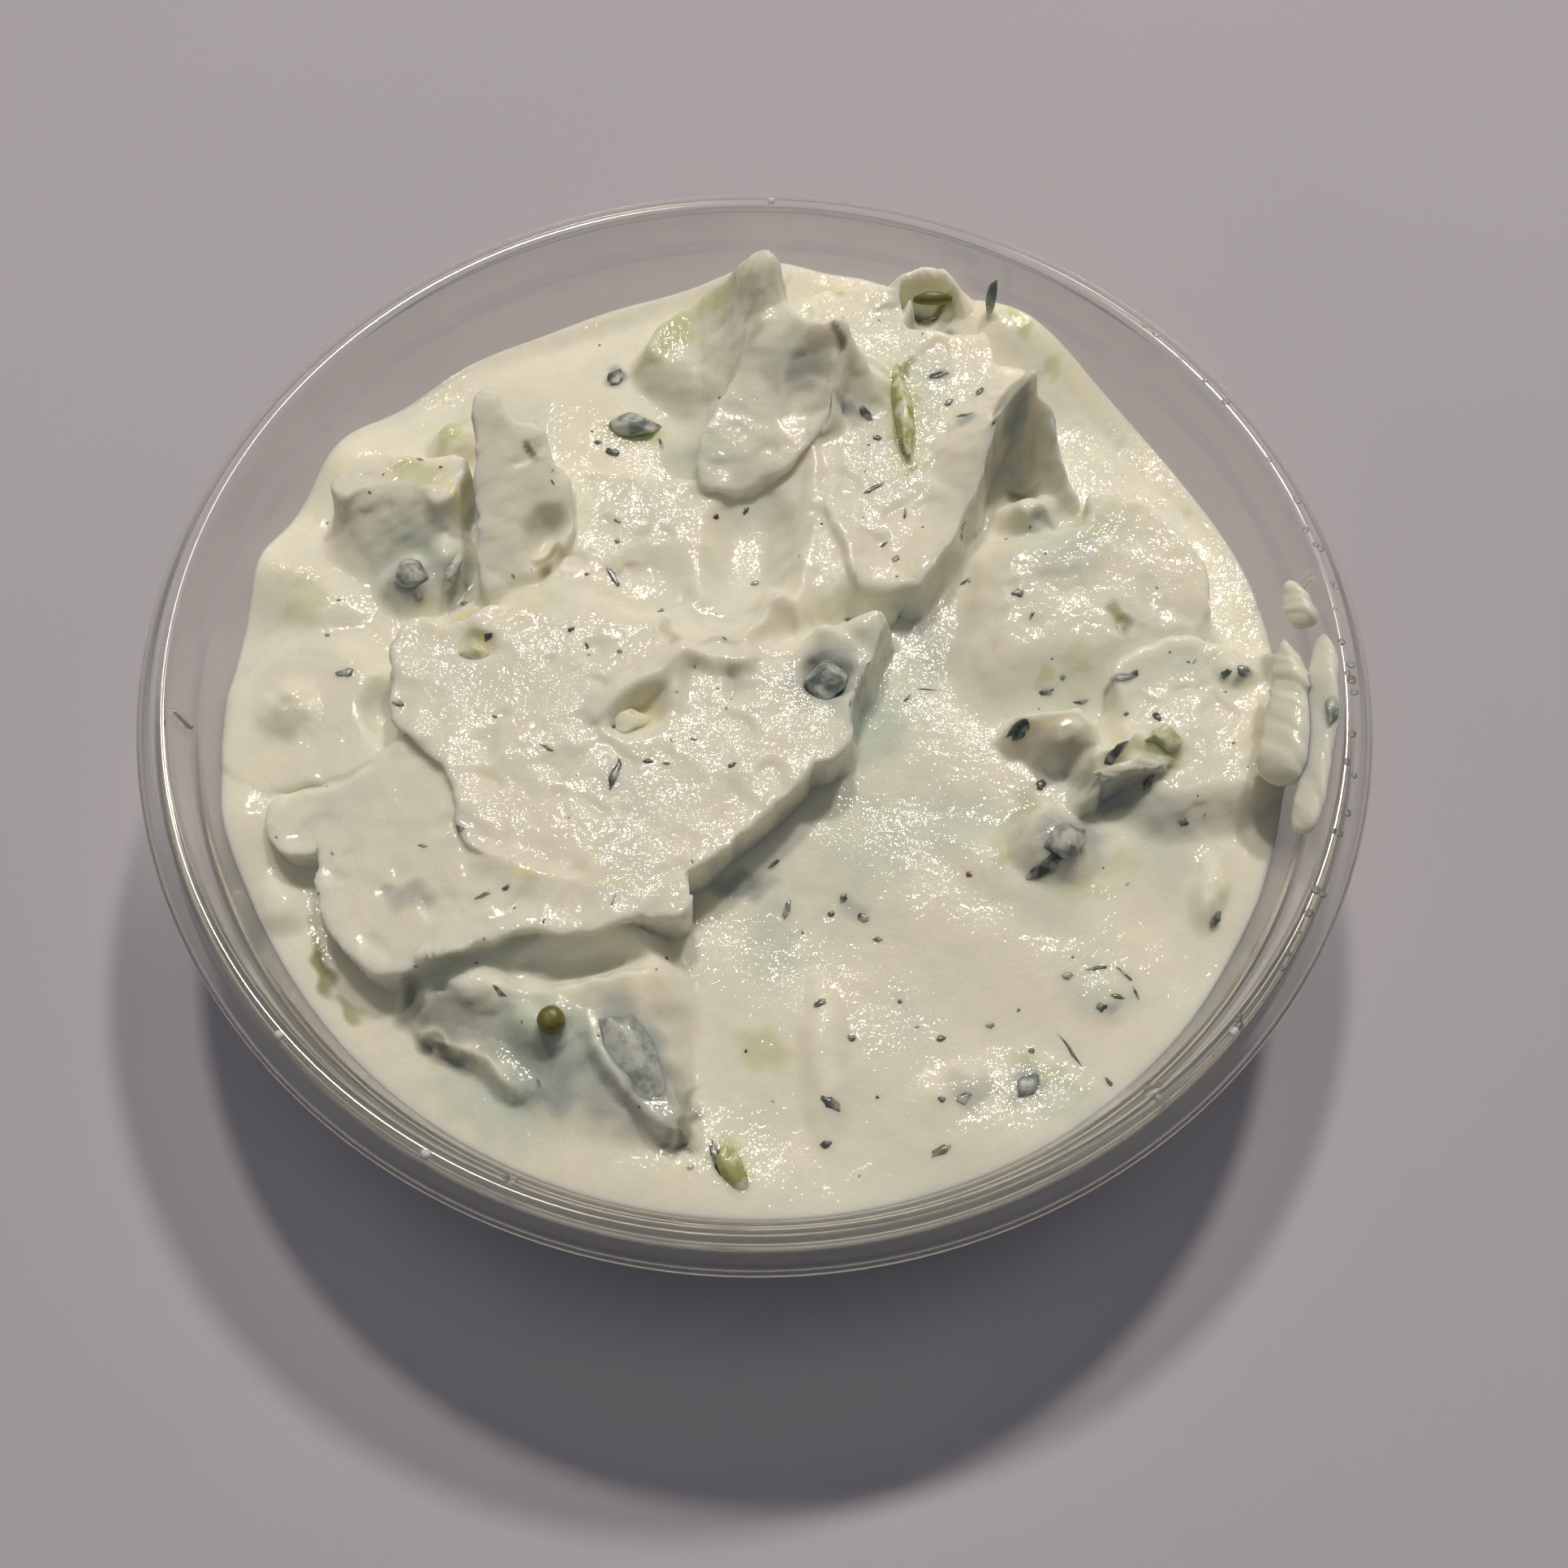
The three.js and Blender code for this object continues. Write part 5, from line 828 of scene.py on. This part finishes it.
# Flecks of peel and herb: thin ragged lenses draped over the dip, each dark where it is bare. The
# larger ones have their places in the photographed dish; the finest are scattered by a seeded draw.
# Each has its place, length, width, turn in degrees and the number of its colour.
FLECKS = [
    (-17.5, 39, 2.6, 1.6, 70, 0), (-17, 28.3, 1.8, 0.9, -20, 0), (-13.2, -12.8, 3, 0.9, 80, 0),
    (-26.6, -18.9, 1.4, 0.9, 0, 0), (-41.2, -1, 2, 0.9, 10, 0), (-15.3, 11.1, 2.6, 0.7, -60, 0),
    (10.2, 31.3, 1.8, 0.9, -40, 0), (11.2, 22.2, 2.4, 0.5, 40, 0), (18.2, 37.2, 2.2, 1, 20, 0),
    (19.2, 33.6, 1.5, 0.7, 50, 0), (26.2, 10.4, 1.5, 1, 0, 0), (29, 0.4, 1.4, 0.7, 20, 0),
    (25.8, -5.1, 2, 1.3, 10, 0), (28.2, -9.8, 1.3, 0.9, 60, 0), (38.1, -10.4, 1.6, 0.8, 60, 1),
    (35, -7.8, 2.8, 0.8, 40, 0), (37.2, 1.1, 2.2, 0.6, 30, 0), (41.6, -13.8, 1, 0.6, 0, 0),
    (3.6, -23.8, 2, 0.6, 75, 0), (2.2, -19.2, 1.4, 0.3, 40, 0), (10.9, -24.3, 1.2, 0.8, -15, 1),
    (9, -22.4, 1, 0.7, 60, 1), (7.9, -24, 0.7, 0.5, 60, 1), (12.3, -26.4, 1, 0.5, 0, 2),
    (7, -33.2, 1.4, 0.7, 30, 0), (8.2, -42.6, 2, 1, -30, 0), (7.9, -46.1, 0.9, 0.7, 0, 0),
    (20, -41.6, 1.4, 1, 30, 0), (18.1, -41.8, 0.8, 0.6, 0, 0), (29.8, -36.6, 3.4, 0.3, -55, 0),
    (33.2, -39.5, 1, 0.4, -60, 1), (44.2, -23.4, 1.4, 0.8, 60, 0), (46.6, 1.6, 0.9, 0.6, 0, 0),
    (48.2, 1.9, 1.3, 0.9, 20, 0), (32.6, -28.7, 2.4, 0.35, 10, 0), (29.8, -29.6, 1, 0.8, 0, 0),
    (35.2, -29.2, 2, 0.3, -45, 0), (36.2, -31, 1.2, 0.25, -65, 0), (34.4, -31.6, 1.2, 0.4, -10, 2),
    (32.8, -32.6, 1, 0.8, 0, 0), (20.9, -19.8, 0.6, 0.5, 0, 1), (14.4, -32.5, 0.5, 0.4, 0, 1),
    (26.3, -36.9, 0.6, 0.5, 0, 1), (12.4, -41.7, 0.35, 0.3, 0, 1), (10, -36.3, 0.9, 0.7, 0, 0),
    (17.9, -46.4, 1.8, 0.8, 30, 2), (22.6, -34.6, 0.9, 0.5, 0, 0), (18, -36, 1, 0.5, 20, 2),
    (-11.8, 29.6, 1.6, 0.35, -70, 0), (-18.6, 29.6, 0.8, 0.5, 0, 0), (-35.2, 8, 0.9, 0.9, 0, 0),
    (-30.8, 8.6, 0.7, 0.9, 0, 2), (-26.7, 1.8, 1.2, 0.5, 40, 0), (-43.8, 3.6, 0.6, 0.4, 0, 1),
    (-36.2, 26.4, 0.6, 0.5, 0, 0), (-36.4, 23, 0.8, 0.25, -10, 1), (-41, 18.6, 0.3, 0.3, 0, 1),
    (-18, 11.2, 0.5, 0.4, 0, 1), (-15.2, 15.4, 0.7, 0.5, 0, 0), (-15.4, 17.8, 0.8, 0.3, -30, 0),
    (-5.2, 19, 0.6, 0.45, 60, 1), (-0.8, 12, 0.9, 0.6, 30, 0), (-10.2, 7, 1.4, 0.4, 80, 0),
    (-18.8, 3, 0.8, 0.5, 30, 0), (-17.2, 1.4, 0.8, 0.3, -60, 1), (-13.7, 0.6, 0.7, 0.5, 0, 0),
    (-6.4, -0.9, 0.3, 0.25, 0, 1), (-34, -5.8, 1, 0.5, -20, 0), (-25.1, -7, 0.5, 0.4, 0, 0),
    (-19.8, -10.3, 1.6, 0.4, -20, 2), (-13.5, -7.2, 0.5, 1, 0, 0), (-10.2, -11.4, 0.9, 0.6, 0, 0),
    (-8.4, -11.6, 0.7, 0.4, 0, 0), (-2.2, -11.4, 1, 0.5, 30, 0), (-6, -8.9, 0.7, 0.25, 0, 2),
    (-24, -25.6, 1.6, 0.4, 20, 0), (-22.2, -24.9, 0.8, 0.5, 30, 0), (-21.3, -26.8, 0.3, 0.25, 0, 1),
    (-12.3, -25.6, 0.9, 0.2, 80, 2), (-30.4, -20.6, 1.2, 0.3, -10, 2), (-21.8, -34.2, 1.4, 0.4, -25, 0),
    (-17.8, -42, 0.8, 0.3, -60, 1), (-8.6, -44, 0.3, 0.25, 0, 1), (-34, 22, 0.4, 0.3, 0, 0),
    (11.3, 28.6, 0.9, 0.7, 0, 1), (20.6, 31.6, 1.4, 0.4, 10, 2), (22.4, 35, 1.2, 0.6, 60, 2),
    (14.4, 19, 0.3, 1.4, 0, 2), (12.3, 15.4, 0.8, 0.4, 30, 1), (13.6, 13.4, 0.9, 0.6, 60, 0),
    (9.2, 8, 1.8, 0.4, 15, 0), (20.2, 17.8, 1.6, 0.4, 80, 0), (21, 13.6, 1.2, 0.3, 30, 2),
    (25.4, 18.2, 0.4, 0.4, 0, 1), (27.4, 8, 0.8, 0.25, 60, 0), (30.6, 1.8, 0.5, 0.7, 0, 1),
    (36.4, -2.7, 0.5, 0.5, 0, 1), (-2.2, 20.6, 0.9, 0.5, 60, 0), (16.1, 17.3, 0.25, 0.25, 0, 1),
    (5.4, 40.2, 0.6, 0.9, 0, 2), (5.4, 41.4, 1.6, 0.3, 10, 0), (17.6, 47.4, 2, 0.8, 5, 1),
    (32.6, -0.3, 1.6, 0.4, 10, 0), (39.6, -3.2, 1.2, 0.7, -40, 0), (30.6, -15, 2.2, 1.2, 10, 0),
    (28, -19.4, 4.2, 1.4, 25, 0), (-1.8, -47.6, 3, 0.9, -75, 0), (15, -0.6, 0.3, 1.2, -30, 0),
    (17, 0.6, 2.2, 0.2, 5, 0), (-4, -48.6, 0.8, 0.4, 30, 2),
]
FLECK_COLOURS = ["#4c5754", "#54453a", "#6f7045"]
FINE_FLECKS, FINE_REACH = 70, 50
FLECK_AROUND = 14
FLECK_RINGS = np.array([0.03, 0.35, 0.7, 0.92, 1.0])
# How ragged its edge is, and how much narrower it is at its ends
RAGGED, FLECK_TAPER = 0.28, 0.3
# How high it stands, a share of its width over the least and up to the most, and how deep it's sunk
LIFT_SHARE, LIFT_LEAST, LIFT_MOST, SUNK = 0.16, 0.05, 0.26, 0.3

draw = np.random.default_rng(21)
fine_angle = draw.uniform(0, 2 * np.pi, FINE_FLECKS)
fine_radius = FINE_REACH * np.sqrt(draw.uniform(0, 1, FINE_FLECKS))
fine = [(radius * math.cos(angle), radius * math.sin(angle), draw.uniform(0.2, 0.5),
         draw.uniform(0.12, 0.3), draw.uniform(0, 180), int(draw.integers(0, 3)))
        for angle, radius in zip(fine_angle, fine_radius)]
all_flecks = np.array(FLECKS + fine)
centre_x, centre_y, length, width, turn = (all_flecks[:, k, None, None] for k in range(5))
around = np.linspace(0, 2 * np.pi, FLECK_AROUND, endpoint=False)
ragged = 1 + RAGGED * draw.uniform(-1, 1, (len(all_flecks), 1, FLECK_AROUND))
along = length / 2 * FLECK_RINGS[:, None] * ragged * np.cos(around)
pinch = 1 - FLECK_TAPER * (FLECK_RINGS[:, None] * np.cos(around)) ** 2
across = width / 2 * FLECK_RINGS[:, None] * ragged * np.sin(around) * pinch
spin = np.radians(turn)
fleck_x = centre_x + along * np.cos(spin) - across * np.sin(spin)
fleck_y = centre_y + along * np.sin(spin) + across * np.cos(spin)
flat = len(all_flecks), -1
fleck_x, fleck_y, ground = dip_surface(fleck_x.reshape(flat), fleck_y.reshape(flat))
lift = np.minimum(LIFT_MOST, LIFT_SHARE * all_flecks[:, 3] + LIFT_LEAST)[:, None]
domed = np.repeat(np.sqrt(1 - 0.96 * FLECK_RINGS ** 2), FLECK_AROUND)
over = np.stack([fleck_x, fleck_y, ground + lift * domed], -1)
under = np.stack([fleck_x, fleck_y, ground - SUNK * np.maximum(domed, 0.8)], -1)
middle = np.stack([over[:, :FLECK_AROUND].mean(1), under[:, :FLECK_AROUND].mean(1)], 1)
fleck_points = np.concatenate([over, under, middle], 1).reshape(-1, 3)
# One fleck's faces: its upper side, its under side, the seam round its edge and a fan at each middle
low = len(FLECK_RINGS) * FLECK_AROUND
here, after = np.arange(FLECK_AROUND), np.roll(np.arange(FLECK_AROUND), -1)
edge = low - FLECK_AROUND
upper = grid_faces(len(FLECK_RINGS), FLECK_AROUND, True)
seam = np.stack([here + edge, here + edge + low, after + edge + low, after + edge], -1)
one_fleck = np.concatenate([upper[:, ::-1], upper + low, seam]).tolist()
one_fleck += [[2 * low, i, k] for i, k in zip(here, after)]
one_fleck += [[2 * low + 1, k + low, i + low] for i, k in zip(here, after)]
size = 2 * low + 2
fleck_faces = [[corner + start for corner in face] for start in range(0, size * len(all_flecks), size)
               for face in one_fleck]
fleck_colour = np.repeat([linear(FLECK_COLOURS[int(c)]) for c in all_flecks[:, 5]], size, 0).ravel()

herb, herb_shader, place = new_material("Chopped peel and herb flecks")
# Wet chopped peel and dried herb: dark, with a broken film of yogurt that greys it.
leaf = node(herb, "ShaderNodeAttribute", attribute_name="leaf")
film = node(herb, "ShaderNodeTexNoise", {"Vector": place, "Scale": 900, "Detail": 3})
cover = node(herb, "ShaderNodeMapRange", {
    "Value": film.outputs["Fac"], "From Min": 0.42, "From Max": 0.68, "To Max": 0.85})
skin = node(herb, "ShaderNodeMix", {
    0: cover.outputs["Result"], 6: leaf.outputs["Color"], 7: linear("#c6c8bd")}, data_type="RGBA")
set_sockets(herb, herb_shader, {
    "Base Color": skin.outputs[2],
    "Roughness": 0.35,
    "Coat Weight": 0.4,
})
flecks = mesh_object("flecks_on_dip", fleck_points, fleck_faces, herb)
flecks.data.attributes.new("leaf", "FLOAT_COLOR", "POINT").data.foreach_set("color", fleck_colour)
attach(flecks, "root")

# The smear: yogurt wiped over the wall and onto the rim on the right, with a dab beside it and a leaf
# of herb stuck in it. Each run has places with half the width along the wall and half the thickness.
SMEAR_RUNS = [
    [(50.9, 2.8, 24.6, 0.4, 0.4), (51.3, 1, 23.9, 1.1, 1), (51.6, -1.2, 23.3, 1.8, 1.4),
     (51.5, -3.2, 22.9, 1.9, 1.5), (51.1, -5.6, 22.6, 2.1, 1.7), (50.4, -9, 22.3, 2.5, 1.8),
     (49.7, -11.6, 21.8, 2.5, 1.5)],
    [(54.6, 3.2, 25.2, 0.8, 0.5), (54.4, -0.5, 24.8, 1.5, 0.8), (54, -5, 24.2, 1.6, 0.9),
     (53, -10, 23.6, 1.5, 0.9), (51.9, -14.6, 23, 1.6, 0.9), (51, -17, 22.6, 1.3, 0.7)],
]
DAB_RUNS = [
    [(52, 9.6, 24.6, 0.6, 0.5), (52.7, 7.6, 24.4, 1.2, 0.9), (53, 5.8, 24.2, 1.5, 1.1),
     (52.8, 4.6, 24, 1, 0.8)],
]
HERB_LEAF = ("rim_herb", "peel", (54.3, -5.4, 25.6), (3.6, 1.3, 0.7), (84, 0, 0), 0.2)
RUN_ROWS, RUN_AROUND = 64, 36
# How far a run faces up for 1 inward, how blunt its cross-section is (an ellipse at 1), and how far its
# tips stand out; then how far all runs stay off the wall
RUN_LEAN, BLUNTNESS, RUN_TIP = 1.2, 0.68, 0.05
OFF_WALL = 0.05


def smear_run(run, seed):
    """Blunt ellipses across a smooth run of places, roughened, and closed to a point at both ends."""
    run = np.asarray(run, float)
    padded = np.concatenate([2 * run[:1] - run[1:2], run, 2 * run[-1:] - run[-2:-1]])
    share = np.linspace(0, len(run) - 1, RUN_ROWS)
    i = np.minimum(share.astype(int), len(run) - 2)
    smooth = catmull_rom(*(padded[i + k] for k in range(4)), (share - i)[:, None])
    middle, half, thick = smooth[:, :3], smooth[:, 3:4], smooth[:, 4:5]
    cap = np.sqrt(np.clip(1 - np.linspace(-1, 1, RUN_ROWS)[:, None] ** 8, 0.02, 1))
    along = np.gradient(middle, axis=0)
    along /= np.linalg.norm(along, axis=1)[:, None]
    off = middle * [-1, -1, 0] / np.linalg.norm(middle[:, :2], axis=1)[:, None] + [0, 0, RUN_LEAN]
    across = np.cross(along, off)
    across /= np.linalg.norm(across, axis=1)[:, None]
    off = np.cross(across, along)
    turn = np.linspace(0, 2 * np.pi, RUN_AROUND, endpoint=False)
    circle = np.array([np.cos(turn), np.sin(turn)])
    blunt_cos, blunt_sin = np.sign(circle) * np.abs(circle) ** BLUNTNESS
    winding, climbing = np.meshgrid(turn, share)
    mm_round, mm_along = 1.8 * np.cos(winding) + 3 * climbing, 1.8 * np.sin(winding) + 1.7 * climbing
    rough = 1 + 0.13 * lattice_noise(mm_round, mm_along, 1.6, seed)
    rough = rough + 0.05 * lattice_noise(mm_round, mm_along, 0.7, seed + 1)
    rows = middle[:, None] + (half * cap)[:, None] * across[:, None] * (rough * blunt_cos)[..., None]
    rows = rows + (thick * cap)[:, None] * off[:, None] * (rough * blunt_sin)[..., None]
    tips = [middle[:1] - along[:1] * half[0] * RUN_TIP, middle[-1:] + along[-1:] * half[-1] * RUN_TIP]
    return np.concatenate([rows.reshape(-1, 3), *tips]), capped_faces(RUN_ROWS, RUN_AROUND)


def keep_off_wall(points, clearance):
    """Draws places that lie outside the inner face of the wall back to it, less the clearance."""
    radius = np.hypot(points[:, 0], points[:, 1])
    limit = np.where(points[:, 2] < RIM_TOP - 1, inside_radius(points[:, 2]) - clearance, radius)
    share = np.minimum(1, limit / radius)
    return points * np.stack([share, share, np.ones(len(points))], -1)


def add_runs(name, runs, replaced):
    """One closed mesh of several smeared runs, in the yogurt's own material."""
    parts, faces, start = [], [], 0
    for k, run in enumerate(runs):
        points, own = smear_run(run, 31 + 7 * k)
        faces += [[start + corner for corner in face] for face in own]
        parts.append(keep_off_wall(points, OFF_WALL))
        start += len(points)
    made = mesh_object(name, np.concatenate(parts), faces, yogurt)
    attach(made, "root")
    if replaced:
        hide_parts(replaced)


add_runs("smear_on_wall", SMEAR_RUNS, "rim_smear")
add_runs("dab_on_wall", DAB_RUNS, "rim_dab")
add_piece(*HERB_LEAF)

# Water beads on the rim at the right, where moist air has condensed: flattened drops half sunk in the
# rim's crown, about half a millimetre wide, clear and smooth. They lie between two angles in degrees
# and two radii, and lower where the crown falls away outside.
BEADS = 34
BEAD_ANGLES, BEAD_RADII, BEAD_WIDTHS, BEAD_STRETCH = (-42, 48), (55.9, 56.9), (0.35, 0.95), (0.8, 1.2)
BEAD_FLATNESS = 0.3
CROWN_RADIUS, CROWN_FALL = 56.2, 0.22

water, water_shader, place = new_material("Condensed water")
# Clean water: colourless, with a hardly visible unevenness of its skin.
ripple = node(water, "ShaderNodeTexNoise", {"Vector": place, "Scale": 900, "Detail": 1})
film = node(water, "ShaderNodeMapRange", {"Value": ripple.outputs["Fac"], "To Min": 0.02, "To Max": 0.08})
set_sockets(water, water_shader, {
    "Base Color": linear("#fbfcfc"),
    "Roughness": film.outputs["Result"],
    "Transmission Weight": 1.0,
    "IOR": 1.33,
})
draw = np.random.default_rng(8)
ball_points, ball_faces = closed_ball(16, 9)
bead_points, bead_faces = [], []
for k in range(BEADS):
    angle, radius = math.radians(draw.uniform(*BEAD_ANGLES)), draw.uniform(*BEAD_RADII)
    wide = draw.uniform(*BEAD_WIDTHS)
    height = RIM_TOP - CROWN_FALL * max(0.2, radius - CROWN_RADIUS)
    middle = np.array([radius * math.cos(angle), radius * math.sin(angle), height])
    half_sizes = [wide / 2, wide / 2 * draw.uniform(*BEAD_STRETCH), wide * BEAD_FLATNESS]
    bead_points.append(middle + ball_points * half_sizes)
    bead_faces += [[corner + k * len(ball_points) for corner in face] for face in ball_faces]
beads_on_rim = mesh_object("water_beads_on_rim", np.concatenate(bead_points), bead_faces, water)
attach(beads_on_rim, "root")

# Crumbs of the dip left on the rim, in its own yogurt: short runs at four angles in degrees, each a
# little narrower at its end.
CRUMB_ANGLES, CRUMB_ARC, CRUMB_RADIUS, CRUMB_THICK = (90.5, 226, 243, 318), 0.8, 56.4, 0.3
crumbs = []
for angle in CRUMB_ANGLES:
    ends = [(math.radians(angle), 25.9, 0.35), (math.radians(angle + CRUMB_ARC), 26, 0.3)]
    crumbs.append([(CRUMB_RADIUS * math.cos(a), CRUMB_RADIUS * math.sin(a), height, half, CRUMB_THICK)
                   for a, height, half in ends])
add_runs("crumbs_on_rim", crumbs, None)
